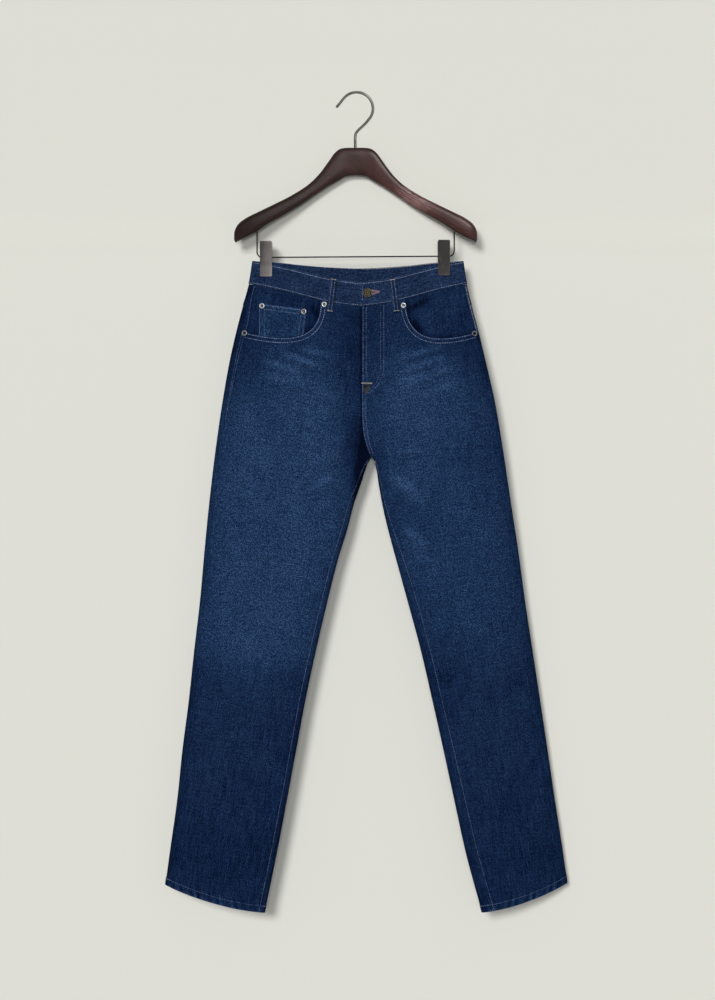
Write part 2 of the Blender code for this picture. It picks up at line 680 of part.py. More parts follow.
def patch(top, bottom, start, end):
    """A grid of (x, z) filled in between four edges, each a list of points: the top and
    bottom run across, the start and end run down."""
    u = np.linspace(0, 1, len(top))[None, :, None]
    v = np.linspace(0, 1, len(start))[:, None, None]
    top, bottom, start, end = (np.array(edge, float) for edge in (top, bottom, start, end))
    corners = (
        (1 - u) * (1 - v) * top[0] + u * (1 - v) * top[-1]
        + (1 - u) * v * bottom[0] + u * v * bottom[-1]
    )
    across = (1 - v) * top[None] + v * bottom[None]
    down = (1 - u) * start[:, None] + u * end[:, None]
    return across + down - corners


def on_sheet(points, sheet):
    return np.concatenate([points, np.full(points.shape[:-1] + (1,), float(sheet))], axis=-1)


def beyond_mouth(side, t, lap):
    """Points past the pocket's mouth, under the front panel where lap is above nothing."""
    e = 0.001
    along = mouth_point(side, t + e) - mouth_point(side, t - e)
    along /= np.linalg.norm(along, axis=-1, keepdims=True)
    away = np.stack([along[..., 1], -along[..., 0]], axis=-1) * side
    return mouth_point(side, t) + np.asarray(lap)[..., None] * away


def facing(name, side):
    """The part of the pocket that shows in its mouth, which runs on under the front."""
    turn = 0.52
    inner_t = np.linspace(0, turn, 6)
    lower_t = np.linspace(1, turn, 8)
    end = beyond_mouth(side, inner_t, np.full(6, FACING_LAP))
    end[0] = (end[1, 0], waist_line_z(side, end[1, 0]) - WAIST_GAP)
    bottom = beyond_mouth(side, lower_t, np.full(8, FACING_LAP))
    reach = 1.2 if side == RIGHT else -2.4
    corner_z = waist_line_z(side, outseam_x(side, WAIST_SIDE_Z)) - WAIST_GAP
    start_z = np.linspace(corner_z, bottom[0, 1], 6)
    start = np.stack([outseam_x(side, start_z) + side * reach, start_z], axis=-1)
    bottom[0] = start[-1]
    end[-1] = bottom[-1]
    top_x = np.linspace(start[0, 0], end[0, 0], 8)
    top = np.stack([top_x, waist_line_z(side, top_x) - WAIST_GAP], axis=-1)
    grid = on_sheet(patch(top, bottom, start, end), FRONT)
    under = -DENIM - SEAM_GAP
    return skin_wall(name, side, grid, under, under - DENIM, "denim_dark")


def coin_pocket(name):
    """The small pocket on the wearer's right facing; its foot meets the mouth's edge."""
    edge = mouth_edge(RIGHT)[:9]
    inside = edge[(edge[:, 0] > -161.0) & (edge[:, 0] < -87.0)]
    foot_x = np.concatenate([[-161.5], inside[:, 0], [-86.5]])
    foot_z = np.interp(foot_x, edge[:, 0], edge[:, 1])
    bottom = np.stack([foot_x, foot_z + SEAM_GAP + 0.2], axis=-1)
    top = np.linspace((-161.0, -346.0), (-82.0, -357.5), len(bottom))
    start = np.linspace(top[0], bottom[0], 4)
    end = np.linspace(top[-1], bottom[-1], 4)
    grid = on_sheet(patch(top, bottom, start, end), FRONT)
    return skin_wall(name, RIGHT, grid, 0.0, -DENIM, "denim_dark")


def back_pocket(name, side):
    """A five-sided patch pocket below the yoke."""
    across = np.linspace(-1, 1, 7)
    down = np.linspace(0, 1, 6)
    tilt = math.radians(3.0) * side
    grid = np.zeros((len(down), len(across), 3))
    for j, v in enumerate(down):
        half = (POCKET_WIDTH + (POCKET_FOOT_WIDTH - POCKET_WIDTH) * v) / 2
        u = across * half
        depth = v * (POCKET_SIDE + POCKET_POINT * (1 - np.abs(across)))
        grid[j, :, 0] = side * 101.0 + u * math.cos(tilt) + depth * math.sin(tilt)
        grid[j, :, 1] = -424.0 + u * math.sin(tilt) - depth * math.cos(tilt)
    grid[..., 2] = BACK
    return skin_wall(name, side, grid, POCKET_LIFT + DENIM, POCKET_LIFT, "denim")


# Share of a belt loop's length from its top, and its distance from the skin there.
LOOP_RISE = [(0.0, 0.0), (0.07, 0.0), (0.22, 1.0), (0.6, 1.0), (0.76, 0.12), (0.88, 0.0), (1.0, 0.0)]


def belt_loop(name, side, sheet, top, bottom):
    """A strip from the waistband's top edge to below its lower seam."""
    top, bottom = np.array(top), np.array(bottom)
    along = (bottom - top) / np.linalg.norm(bottom - top)
    across = np.array([along[1], -along[0]]) * LOOP_WIDTH / 2
    grid, lift = [], []
    for share, rise in LOOP_RISE:
        middle = top * (1 - share) + bottom * share
        grid.append([middle - across, middle, middle + across])
        foot = BAND_RAISE if share < 0.8 else 0.0
        lift.append(foot + LOOP_LIFT + BELT_GAP * rise)
    grid = on_sheet(np.array(grid), sheet)
    lift = np.array(lift)[:, None]
    return skin_wall(name, side, grid, lift + LOOP_WALL, lift, "denim")


def belt_loops():
    belt_loop("belt_loop_front_right", RIGHT, FRONT, (-37.5, -305.5), (-44.0, -362.5))
    belt_loop("belt_loop_front_left", LEFT, FRONT, (58.6, -306.0), (65.8, -362.0))
    belt_loop("belt_loop_back_right", RIGHT, BACK, (-90.0, -282.8), (-92.0, -336.0))
    belt_loop("belt_loop_back_left", LEFT, BACK, (94.0, -282.8), (96.0, -336.0))
    belt_loop("belt_loop_centre_back", RIGHT, BACK, (-4.5, -287.6), (-4.5, -341.0))


# ---------------------------------------------------------------- metal on the cloth
RIVETS = {
    "rivet_mouth_inner_right": (RIGHT, -53.5, -349.0, 0.0),
    "rivet_mouth_outer_right": (RIGHT, -184.8, -395.4, 0.0),
    "rivet_coin_outer": (RIGHT, -156.2, -350.6, 0.0),
    "rivet_coin_inner": (RIGHT, -87.0, -360.6, 0.0),
    "rivet_mouth_inner_left": (LEFT, 76.8, -350.4, 0.0),
    "rivet_mouth_outer_left": (LEFT, 194.2, -396.2, 0.0),
}
RIVET_PROFILE = [(0, 0), (1.0, 0), (1.0, 0.45), (0.84, 0.95), (0.56, 0.95), (0.48, 0.6), (0, 0.6)]
BUTTON_PROFILE = [(0, 0), (0.8, 0), (1.0, 1.0), (1.0, 1.9), (0.88, 2.6), (0.66, 2.9), (0.5, 2.5), (0, 2.7)]


def set_on_skin(name, side, x, z, out, profile, radius, segments, finish):
    """A turned piece standing on the front of the cloth, out from the skin."""
    foot, above = skin(side, x, z, FRONT, out), skin(side, x, z, FRONT, out + 1.0)
    steps = [(r * radius, h) for r, h in profile]
    return lathe(name, steps, segments, foot, above - foot, finish)


def metal_trim():
    for name, (side, x, z, out) in RIVETS.items():
        out = out + SEAM_GAP + 0.1
        set_on_skin(name, side, x, z, out, RIVET_PROFILE, RIVET_RADIUS, 14, "rivet_metal")
    out = BAND_RAISE + OVERLAP_RAISE + SEAM_GAP
    set_on_skin("button", LEFT, 17.8, -330.5, out, BUTTON_PROFILE, BUTTON_RADIUS, 20, "button_metal")


# ---------------------------------------------------------------- the hanger
def hanger_wood(name):
    """The arched bar, a loft of rounded sections from one tip to the other."""
    half = list(ARM)
    slices = [(-1, s) for s in reversed(half[1:])] + [(1, s) for s in half]
    count = 12
    angles = (np.arange(count) + 0.5) * 2 * math.pi / count
    power = 0.7
    round_z = np.sign(np.cos(angles)) * np.abs(np.cos(angles)) ** power
    round_y = np.sign(np.sin(angles)) * np.abs(np.sin(angles)) ** power
    points = []
    for turn, s in slices:
        top = np.array([WOOD_CENTRE_X + turn * s.top_x, 0, s.top_z])
        low = np.array([WOOD_CENTRE_X + turn * s.low_x, 0, s.low_z])
        middle, arm = (top + low) / 2, (top - low) / 2
        ring = middle + np.outer(round_z, arm)
        ring[:, 1] = round_y * s.half
        points.append(ring)
    return lofted(name, points, "walnut")


def lofted(name, rings, finish):
    """A closed solid through rings of equal count, with a flat cap at each end."""
    count = len(rings[0])
    faces = [list(range(count)), list(range(len(rings) * count - 1, (len(rings) - 1) * count - 1, -1))]
    for j in range(len(rings) - 1):
        for i in range(count):
            k = (i + 1) % count
            a, b = j * count + i, j * count + k
            faces.append([a, a + count, b + count, b])
    points = np.concatenate(rings)
    made = mesh_object(name, points, faces, finish)
    face_out(made)
    return made


def face_out(made):
    """Turns the mesh's faces round when they face in."""
    mesh = made.data
    mesh.calc_loop_triangles()
    volume = 0.0
    for triangle in mesh.loop_triangles:
        a, b, c = (mesh.vertices[i].co for i in triangle.vertices)
        volume += a.dot(b.cross(c))
    if volume < 0:
        mesh.flip_normals()


def tube(name, path, radius, segments, finish):
    """A round wire along a path of points in the plane y = 0."""
    path = np.array([(x, 0.0, z) for x, z in path])
    tangents = np.gradient(path, axis=0)
    tangents /= np.linalg.norm(tangents, axis=1, keepdims=True)
    angles = np.arange(segments) * 2 * math.pi / segments
    rings = []
    for point, tangent in zip(path, tangents):
        side = np.array([tangent[2], 0.0, -tangent[0]])
        ring = np.outer(np.cos(angles), side) + np.outer(np.sin(angles), (0, 1, 0))
        rings.append(point + ring * radius)
    return lofted(name, rings, finish)


def arc(centre, radius, start, end, count):
    angles = np.radians(np.linspace(start, end, count))
    return [(centre[0] + radius * math.cos(a), centre[1] + radius * math.sin(a)) for a in angles]


def hanger_hook(name):
    """The hook: a shank out of the wood, an offset bend and a round over the rail."""
    centre = (0.0, HOOK_WIRE - HOOK_RADIUS)
    path = [(-2.2, -89.0), (-2.2, -74.5), (-2.0, -69.6), (-0.9, -65.3), (2.2, -61.1), (8.5, -55.0)]
    path += [(14.5, -49.3)] + arc(centre, HOOK_RADIUS, -44, 138, 15)
    last = np.array(path[-1])
    tip = np.array([-32.4, -21.8])
    path += [tuple(last * 0.55 + tip * 0.45), tuple(tip)]
    return tube(name, path, HOOK_WIRE, 10, "hook_metal")


def hanger_bar(name):
    """The bar that the clips sit on, bent up at both ends into the wood."""
    first, last = DROP_X
    path = [(first, DROP_TOP_Z), (first, BAR_Z + DROP_BEND + 8)]
    path += arc((first + DROP_BEND, BAR_Z + DROP_BEND), DROP_BEND, 180, 270, 6)
    path += [(first + 40, BAR_Z), (last - 40, BAR_Z)]
    path += arc((last - DROP_BEND, BAR_Z + DROP_BEND), DROP_BEND, -90, 0, 6)
    path += [(last, BAR_Z + DROP_BEND + 8), (last, DROP_TOP_Z)]
    return tube(name, path, BAR_RADIUS, 8, "clip_metal")


def clip_plate(name, x, sheet):
    """One jaw of a clip: it grips the waistband with its foot, passes outside the spring
    and leans out to the finger grip at the top."""
    profile = [
        (CLIP_FOOT_Z, CLIP_JAW_Y), (CLIP_FOOT_Z + 18, CLIP_JAW_Y), (BAR_Z - 9, CLIP_BAR_Y - 1.2),
        (BAR_Z, CLIP_BAR_Y), (BAR_Z + 9, CLIP_BAR_Y + 0.6), (CLIP_TOP_Z, CLIP_GRIP_Y),
    ]
    across = np.array([-1.0, -0.86, 0.86, 1.0]) * CLIP_WIDTH / 2
    inner = np.array([[(x + a, sheet * y, z) for a in across] for z, y in profile])
    crown = np.array([0.7, 1.0, 1.0, 0.7])[None, :, None] * CLIP_PLATE
    outer = inner + crown * np.array([0.0, float(sheet), 0.0])
    return wall(name, outer, inner, "clip_metal")


def clip_spring(name, x):
    """The spring's coil, a sleeve round the bar."""
    segments = 14
    angles = np.arange(segments) * 2 * math.pi / segments
    hole = BAR_RADIUS + SEAM_GAP
    points, faces = [], []
    profile = [(-SPRING_HALF, hole), (-SPRING_HALF, SPRING_RADIUS)]
    profile += [(SPRING_HALF, SPRING_RADIUS), (SPRING_HALF, hole)]
    for along, radius in profile:
        for a in angles:
            points.append((x + along, radius * math.cos(a), BAR_Z + radius * math.sin(a)))
    for j in range(4):
        for i in range(segments):
            k = (i + 1) % segments
            n = (j + 1) % 4
            faces.append([j * segments + i, j * segments + k, n * segments + k, n * segments + i])
    made = mesh_object(name, points, faces, "hook_metal")
    face_out(made)
    return made


def build_hanger():
    hanger_wood("hanger_wood")
    hanger_hook("hanger_hook")
    hanger_bar("hanger_bar")
    for place, x in zip(("right", "left"), CLIP_X):
        clip_plate(f"clip_front_{place}", x, FRONT)
        clip_plate(f"clip_back_{place}", x, BACK)
        clip_spring(f"clip_spring_{place}", x)


def build_cloth():
    for place, side in (("right", RIGHT), ("left", LEFT)):
        front_panel(f"front_{place}", side)
        back_panel(f"back_{place}", side)
        yoke(f"yoke_{place}", side)
        facing(f"facing_{place}", side)
        back_pocket(f"back_pocket_{place}", side)
    coin_pocket("coin_pocket")
    waistband("waistband")
    belt_loops()


def clear_scene():
    for old in list(bpy.data.objects):
        bpy.data.objects.remove(old)


def main():
    clear_scene()
    build_cloth()
    metal_trim()
    build_hanger()


main()
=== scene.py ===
"""Straight leg jeans hanging from a wooden clip hanger: cloth, sewing, metal and wood.

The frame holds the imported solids. This script dresses them: it lays fine cloth shells on the
same form with their creases and washes, sews them, turns the metal trim and finishes the
hanger. Sizes are millimetres and meshes are metres, +Z up, with the wearer's right at -X and
the front at -Y.
"""

import logging
import math
from dataclasses import dataclass, field
from enum import Enum, IntEnum
from typing import NamedTuple

import bpy
import numpy as np
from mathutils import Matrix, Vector
from mathutils.bvhtree import BVHTree


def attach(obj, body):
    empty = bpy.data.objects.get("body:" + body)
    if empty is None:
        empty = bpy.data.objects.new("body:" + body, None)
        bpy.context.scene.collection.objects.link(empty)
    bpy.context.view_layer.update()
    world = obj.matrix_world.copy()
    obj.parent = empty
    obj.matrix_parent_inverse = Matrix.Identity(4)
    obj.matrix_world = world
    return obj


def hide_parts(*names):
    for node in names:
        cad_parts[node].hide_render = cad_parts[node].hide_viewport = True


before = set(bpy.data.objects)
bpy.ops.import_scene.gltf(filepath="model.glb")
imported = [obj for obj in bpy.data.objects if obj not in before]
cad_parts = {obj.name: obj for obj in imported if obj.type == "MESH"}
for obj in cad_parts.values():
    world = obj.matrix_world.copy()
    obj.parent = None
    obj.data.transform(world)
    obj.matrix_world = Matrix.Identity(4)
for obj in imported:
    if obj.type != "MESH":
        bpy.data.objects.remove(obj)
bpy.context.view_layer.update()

log = logging.getLogger("jeans")
Array = np.ndarray
Material, Tree, Node = bpy.types.Material, bpy.types.NodeTree, bpy.types.Node
Socket, Object = bpy.types.NodeSocket, bpy.types.Object
MM = 0.001
ROOT = "root"


class Way(IntEnum):
    """One of two opposite ways, as a sign."""

    @property
    def word(self) -> str:
        """Its name in small letters, as the tables and the pieces have it."""
        return self.name.lower()


class Side(Way):
    """The wearer's two sides."""

    RIGHT = -1
    LEFT = 1


class Sheet(Way):
    """The two sheets of the hanging garment."""

    FRONT = -1
    BACK = 1


class Border(Enum):
    """The four borders of a cut piece's grid."""

    TOP = "top"
    FOOT = "foot"
    START = "start"
    END = "end"


class Crowd(Enum):
    """Where the steps between two knots of a grid crowd together."""

    EVEN = "even"
    START = "start"
    END = "end"


class Lit(Enum):
    """What a light reaches: matt colour and gloss, each or both."""

    MATT = (True, False)
    GLOSS = (False, True)
    BOTH = (True, True)


RIGHT, LEFT = Side
FRONT, BACK = Sheet
EVEN, NEAR_START, NEAR_END = Crowd


def table(kind: type, *rows: tuple[float, ...]) -> list:
    """A table whose rows are of one kind, each from its values."""
    return [kind(*row) for row in rows]


# ---------------------------------------------------------------- the garment's form, mm
class Fold(NamedTuple):
    """Where the side folds are at one height."""

    z: float
    right: float
    left: float


SIDE_FOLDS = table(
    Fold,
    (-276, -171.4, 175.6), (-314.1, -177.7, 181.8), (-340.5, -184.8, 187.4), (-390, -197.8, 200.5),
    (-439.5, -209.1, 212.5), (-505.5, -220.8, 227.5), (-588, -232.8, 241.7), (-670.5, -242.7, 254.3),
    (-753, -251, 267.1), (-835.5, -258.4, 278.5), (-918, -268.1, 291.1), (-1000.5, -277, 303.8),
    (-1083, -287.6, 316.3), (-1165.5, -296.3, 328.5), (-1248, -307.9, 341.4), (-1305.7, -315.8, 349.6),
)
FOOT_SLOPE = {RIGHT: -0.148, LEFT: 0.142}


class LegFold(NamedTuple):
    """The folds inside the legs, and how far the inseam lies in front of each."""

    z: float
    right: float
    left: float
    right_inset: float
    left_inset: float


NOTCH_X, NOTCH_Z = 24.6, -601.2
LEG_FOLDS = table(
    LegFold,
    (NOTCH_Z, NOTCH_X, NOTCH_X, 0, 0), (-606, 20.6, 30, 1, 0.5), (-611, 18.2, 31, 1.8, 0.8),
    (-622, 14.2, 32.8, 3, 1.6), (-645, 6.6, 36.4, 4.5, 2.4), (-670.5, -2.4, 40.9, 6, 3),
    (-720, -15.6, 52.1, 7, 6.5), (-770, -31, 65.6, 7.5, 10), (-835.5, -47.5, 83.5, 7.5, 12.5),
    (-918, -66.8, 105.7, 7.5, 13), (-1000.5, -84.3, 124.7, 7.5, 13.5), (-1083, -99.5, 143.1, 7.5, 14.5),
    (-1165.5, -114.8, 160.9, 7.5, 15.5), (-1248, -130.4, 178.9, 7.5, 17),
    (-1348.6, -151.1, 206.1, 7.5, 18),
)


class Fullness(NamedTuple):
    """How far each sheet stands off the middle plane, beyond the folds' own roundness."""

    z: float
    front: float
    back: float
    reach: float


FULLNESS = table(
    Fullness,
    (-276, 11, 13, 120), (-350, 12, 17, 115), (-420, 13, 23, 110), (-500, 14, 26, 100),
    (-600, 12, 19, 85), (-700, 10, 13, 75), (-868, 8, 9, 70), (-1100, 7.5, 8, 65),
    (-1348.6, 8.5, 8.5, 60),
)


class Hang(NamedTuple):
    """Where the folds of each leg hang, before or behind the middle plane."""

    z: float
    right_outer: float
    right_inner: float
    left_outer: float
    left_inner: float


HANGS = table(
    Hang,
    (-290, 0, 0, 0, 0), (-600, 0, 0, 0, 0), (-760, 1, -7, 8, -4), (-1000, 2, -12, 16, -9),
    (-1348.6, 3, -15, 23, -14),
)


class Row(NamedTuple):
    """A row across a side of the garment: its heights and its sag."""

    side: float
    front: float
    back: float
    sag: float


WAIST = Row(-314.1, -352.5, -325.0, 0.0)
BAND_TOP = Row(-276.0, -312.0, -287.0, 0.0)
YOKE_SIDE_Z = -350.0
HEM_EDGE = Row(-1305.7, -1348.6, -1348.6, 6.5)
HEM_HEIGHT = 13.0
ROWS = [
    WAIST,
    *table(
        Row,
        (YOKE_SIDE_Z, WAIST.front, -395, 0), (-393, WAIST.front, -424, 0), (-428, -398, -453, 0),
        (-462, -445, -483, 0), (-498, -489, -515, 0), (-534, -532, -548, 0), (-561, -567, -576, 0),
        (-576, -588, -591, 0), (-583, -597, -598, 0), (-586, NOTCH_Z, NOTCH_Z, 0),
        (-592, -608, -608, 0), (-606, -623, -623, 0), (-640, -659, -659, 0), (-695, -716, -716, 0),
        (-760, -783, -783, 0.5), (-830, -856, -856, 1), (-905, -933, -933, 1.5),
        (-985, -1016, -1016, 2), (-1070, -1103, -1103, 3), (-1155, -1191, -1191, 4),
        (-1235, -1274, -1274, 5), (-1305.7 + HEM_HEIGHT, -1348.6 + HEM_HEIGHT, -1348.6 + HEM_HEIGHT, 6),
    ),
    HEM_EDGE,
]
YOKE_ROW, SQUARE_ROW = 1, 4

# The mouth of each front pocket, a cubic curve from the waist seam round to the outseam.
MOUTHS = {
    RIGHT: [(-59.5, -341.4), (-57.0, -401.0), (-97.0, -417.0), (-189.5, -393.0)],
    LEFT: [(80.0, -339.5), (82.0, -398.0), (112.0, -420.0), (201.0, -393.0)],
}


class Crease(NamedTuple):
    """A soft fold between two ends: half width, how far it stands out, and how much lighter its ridge
    has worn. A negative height is a trough, and a negative wear paints shade into that trough."""

    side: Side
    sheet: Sheet
    x0: float
    z0: float
    x1: float
    z1: float
    width: float
    height: float
    wear: float = 0.0


def creases_on(side: Side, sheet: Sheet, *rows: tuple[float, ...]) -> list[Crease]:
    """The creases of one sheet of one side, each from the rest of its values."""
    return [Crease(side, sheet, *row) for row in rows]


# The long folds that the solids have too.
CREASES = (
    creases_on(
        RIGHT, FRONT,
        (-2, -530, 17, -603, 16, -5, -0.08), (-26, -520, -10, -610, 17, 4, 0.04),
        (-80, -655, -25, -632, 13, 2.6, 0.10), (-95, -850, -190, -880, 24, 2.2, 0.03),
    )
    + creases_on(
        LEFT, FRONT,
        (50, -620, 118, -680, 14, 3, 0.12), (75, -712, 122, -752, 14, 2.4, 0.10),
        (140, -905, 230, -880, 24, 2.2, 0.03),
    )
    + creases_on(
        RIGHT, BACK,
        (-30, -640, -120, -600, 18, 4, 0.08), (-80, -860, -190, -885, 24, 4, 0.08),
    )
    + creases_on(
        LEFT, BACK,
        (60, -640, 150, -596, 18, 4, 0.08), (130, -860, 240, -890, 24, 4, 0.08),
    )
)

# The finer creases: whiskers across the hips, pulls at the crotch, breaks at the knees and
# behind them, and slight waves where the weight hangs from the clips.
WRINKLES = (
    creases_on(
        RIGHT, FRONT,
        (-100, -419.7, -34, -432.9, 5.8, 0.9, 0.28), (-129.7, -429.6, -44.7, -449.4, 6.3, 1, 0.29),
        (-162.7, -444.4, -77.6, -460.3, 6.9, 0.9, 0.22), (-150, -468, -62, -478, 8, 0.7, 0.12),
        (-116, -424, -40, -440.5, 4.5, -0.7, -0.07), (-146, -437, -62, -455, 4.5, -0.8, -0.07),
        (-75.7, -647.4, -28.5, -629.9, 5.8, 0.8, 0.16), (-69.8, -685.8, -37.3, -673.8, 5.8, 0.7, 0.14),
        (-78, -664, -22, -650, 6, -0.8, -0.04), (-60, -585, -4, -560, 10.3, 1, 0.06),
        # The troughs from (17, -548), (6, -552) and (-16, -560) towards the notch are painted shadow,
        # deepest with a wear of -0.8, where the leg rolls away from the light.
        (-88, -612, -16, -592, 9.2, 0.9, 0.09), (17, -548, -1, -684, 9, -1, -0.8),
        (6, -552, 17.5, -608, 6.5, -1, -0.2), (-16, -560, 9, -616, 8, -0.8, -0.1),
        (-70, -493, -28, -499, 4.5, 0.7, 0.14), (-170, -462, -108, -478, 4.5, 0.7, 0.12),
        (-30, -438, -14, -489, 7, -0.8, -0.10), (-230, -905, -150, -925, 14, 1.2, 0.03),
        (-90, -930, -160, -905, 13, 1, 0.02), (-245, -1010, -170, -1040, 16, -1.1, -0.01),
        (-200, -1180, -280, -1215, 20, 1.1, 0.01),
    )
    + creases_on(
        LEFT, FRONT,
        (61.7, -437.8, 146.9, -416.4, 6.3, 0.9, 0.29), (67.5, -460.3, 160.7, -432.9, 6.9, 1, 0.26),
        (72.9, -482.4, 187.9, -444.4, 8, 1, 0.20), (92, -503, 186, -470, 8, 0.7, 0.12),
        (70, -449, 152, -426, 4.5, -0.8, -0.07), (76, -471, 168, -440, 4.5, -0.8, -0.07),
        (48, -621, 115.8, -677.1, 6.3, 0.8, 0.17), (74.6, -712.4, 118.8, -750.7, 6.3, 0.8, 0.16),
        (89.3, -744.7, 112.9, -774.4, 5.8, 0.6, 0.12), (58, -655, 112, -706, 7, -0.9, -0.04),
        (110, -462, 176, -434, 3.5, 0.6, 0.14), (60, -478, 118, -462, 4, 0.6, 0.12),
        (44, -575, 92, -600, 10.3, 0.9, 0.04), (262, -935, 190, -965, 14, 1.2, 0.03),
        (150, -985, 215, -960, 13, 1, 0.02), (298, -1060, 220, -1085, 16, -1, -0.01),
        (210, -1195, 300, -1225, 20, 1.1, 0.01),
    )
    + creases_on(
        RIGHT, BACK,
        (-60, -585, -165, -560, 9, 1.4, 0.09), (-20, -670, -115, -650, 10, 1.3, 0.08),
        (-60, -828, -215, -838, 11, 1.6, 0.12), (-75, -905, -235, -918, 12, 1.5, 0.11),
        (-95, -940, -205, -952, 10, 1.2, 0.08), (-85, -845, -225, -858, 8, -1.2, -0.06),
        (-120, -1265, -235, -1280, 14, 1.3, 0.04),
    )
    + creases_on(
        LEFT, BACK,
        (90, -590, 195, -562, 9, 1.4, 0.09), (55, -676, 150, -650, 10, 1.3, 0.08),
        (100, -836, 258, -840, 11, 1.6, 0.12), (118, -912, 272, -924, 12, 1.5, 0.11),
        (132, -946, 250, -960, 10, 1.2, 0.08), (110, -850, 260, -862, 8, -1.2, -0.06),
        (200, -1262, 320, -1278, 14, 1.3, 0.04),
    )
)


# How gently the fine creases run out at their ends.
WRINKLE_SOFT = 1.2

# The soft folds of the facings, only painted, with no height: a negative wear paints shade along a fold
# and a positive one a painted highlight.
POCKET_FOLDS = (
    creases_on(
        LEFT, FRONT,
        (78, -362, 122, -337, 4, 0, -0.30), (92, -374, 108, -398, 6, 0, -0.34),
        (112, -368, 180, -352, 9, 0, 0.10),
    )
    + creases_on(
        RIGHT, FRONT,
        (-78, -348, -62, -372, 6, 0, -0.28),
    )
)


class Wash(NamedTuple):
    """How light the dye of each leg's front and of the back has washed at one height."""

    z: float
    right: float
    left: float
    back: float


WASHES = table(
    Wash,
    (-330, 0.43, 0.42, 0.43), (-415, 0.46, 0.42, 0.49), (-464, 0.53, 0.53, 0.57),
    (-514, 0.61, 0.60, 0.63), (-600, 0.62, 0.56, 0.59), (-700, 0.62, 0.54, 0.55),
    (-800, 0.61, 0.54, 0.54), (-880, 0.60, 0.50, 0.57), (-920, 0.59, 0.45, 0.52),
    (-967, 0.45, 0.40, 0.41), (-1017, 0.39, 0.40, 0.36), (-1066, 0.36, 0.39, 0.33),
    (-1165, 0.32, 0.34, 0.31), (-1264, 0.28, 0.31, 0.28), (-1349, 0.29, 0.30, 0.28),
)


# ---------------------------------------------------------------- small mathematics
def through(knots: Array, values: Array, places: Array) -> Array:
    """A smooth curve through values at knots.

    Args:
        knots: where the values are, rising.
        values: a value or a row of values for each knot.
        places: where to read the curve.

    Returns:
        The curve's values at the places.
    """
    wide = (..., *[None] * (values.ndim - 1))
    slopes = np.gradient(values, knots, axis=0)
    at = np.clip(np.searchsorted(knots, places) - 1, 0, len(knots) - 2)
    step = (knots[at + 1] - knots[at])[wide]
    t = (places - knots[at])[wide] / step
    return (
        (2 * t**3 - 3 * t**2 + 1) * values[at]
        + (t**3 - 2 * t**2 + t) * step * slopes[at]
        + (3 * t**2 - 2 * t**3) * values[at + 1]
        + (t**3 - t**2) * step * slopes[at + 1]
    )


def smooth(table: list, column: str, z: Array) -> Array:
    """Reads one column of a table at given heights.

    Args:
        table: rows with a z, from the highest to the lowest.
        column: the name of the value to read.
        z: heights in mm.

    Returns:
        The values on a curve through the table's rows.
    """
    heights = np.array([row.z for row in table], float)[::-1]
    values = np.array([getattr(row, column) for row in table], float)[::-1]
    return through(heights, values, np.clip(z, heights[0], heights[-1]))


def ease(t: Array) -> Array:
    """A soft step from 0 to 1."""
    t = np.clip(t, 0, 1)
    return t * t * (3 - 2 * t)


def drift(x: Array, y: Array, scale: float, seed: int) -> Array:
    """Slow even noise over a plane.

    Args:
        x: places across, mm.
        y: places down, mm.
        scale: the size of its lumps, mm.
        seed: which pattern.

    Returns:
        Values from -1 to 1.
    """
    size = 64
    lattice = np.random.default_rng(seed).uniform(-1, 1, (size, size))
    gx, gy = np.asarray(x) / scale + 17.3, np.asarray(y) / scale + 5.1
    ix, iy = np.floor(gx).astype(int), np.floor(gy).astype(int)
    fx, fy = ease(gx - ix), ease(gy - iy)
    a, b = lattice[ix % size, iy % size], lattice[(ix + 1) % size, iy % size]
    c, d = lattice[ix % size, (iy + 1) % size], lattice[(ix + 1) % size, (iy + 1) % size]
    return (a * (1 - fx) + b * fx) * (1 - fy) + (c * (1 - fx) + d * fx) * fy


def arc_lengths(points: Array, axis: int) -> Array:
    """How far each point of a grid lies along its line, from 0 at the line's start.

    Args:
        points: the points, with their coordinates last.
        axis: the axis that the lines run along.

    Returns:
        The lengths, mm.
    """
    steps = np.linalg.norm(np.diff(points, axis=axis), axis=-1)
    start = np.zeros_like(np.take(points, [0], axis=axis)[..., 0])
    return np.concatenate([start, np.cumsum(steps, axis=axis)], axis=axis)


def nearest_on(points: Array, line: Array) -> tuple[Array, Array]:
    """How far points lie from a line, and how far along it the nearest place is.

    Args:
        points: the points, with their coordinates last.
        line: the line's corners.

    Returns:
        The distances and the lengths along the line.
    """
    flat = points.reshape(-1, 3)
    gaps = (flat**2).sum(1)[:, None] + (line**2).sum(1)[None] - 2 * flat @ line.T
    corner = gaps.argmin(1)
    lengths = arc_lengths(line, 0)
    distance, along = np.full(len(flat), np.inf), np.zeros(len(flat))
    for shift in (-1, 0):
        at = np.clip(corner + shift, 0, len(line) - 2)
        start, span = line[at], line[at + 1] - line[at]
        square = np.maximum((span**2).sum(1), 1e-12)
        t = np.clip(((flat - start) * span).sum(1) / square, 0, 1)
        gap = np.linalg.norm(flat - start - t[:, None] * span, axis=1)
        better = gap < distance
        distance = np.where(better, gap, distance)
        along = np.where(better, lengths[at] + t * np.sqrt(square), along)
    return distance.reshape(points.shape[:-1]), along.reshape(points.shape[:-1])


def finer(gaps: list[tuple[int, Crowd]]) -> Array:
    """Fractional places along a list of knots.

    Args:
        gaps: for each gap between two knots, how many steps it gets and where they crowd.

    Returns:
        The places, with the knots themselves at the whole numbers.
    """
    places = []
    for index, (count, crowd) in enumerate(gaps):
        t = np.arange(count) / count
        if crowd == NEAR_START:
            t = t**2
        elif crowd == NEAR_END:
            t = 1 - (1 - t) ** 2
        places.append(index + t)
    return np.append(np.concatenate(places), float(len(gaps)))


def bow(x: Array, z: Array) -> Array:
    """How far the fine creases stray from straight, mm."""
    return 3.0 * drift(x, z, 34.0, 5)


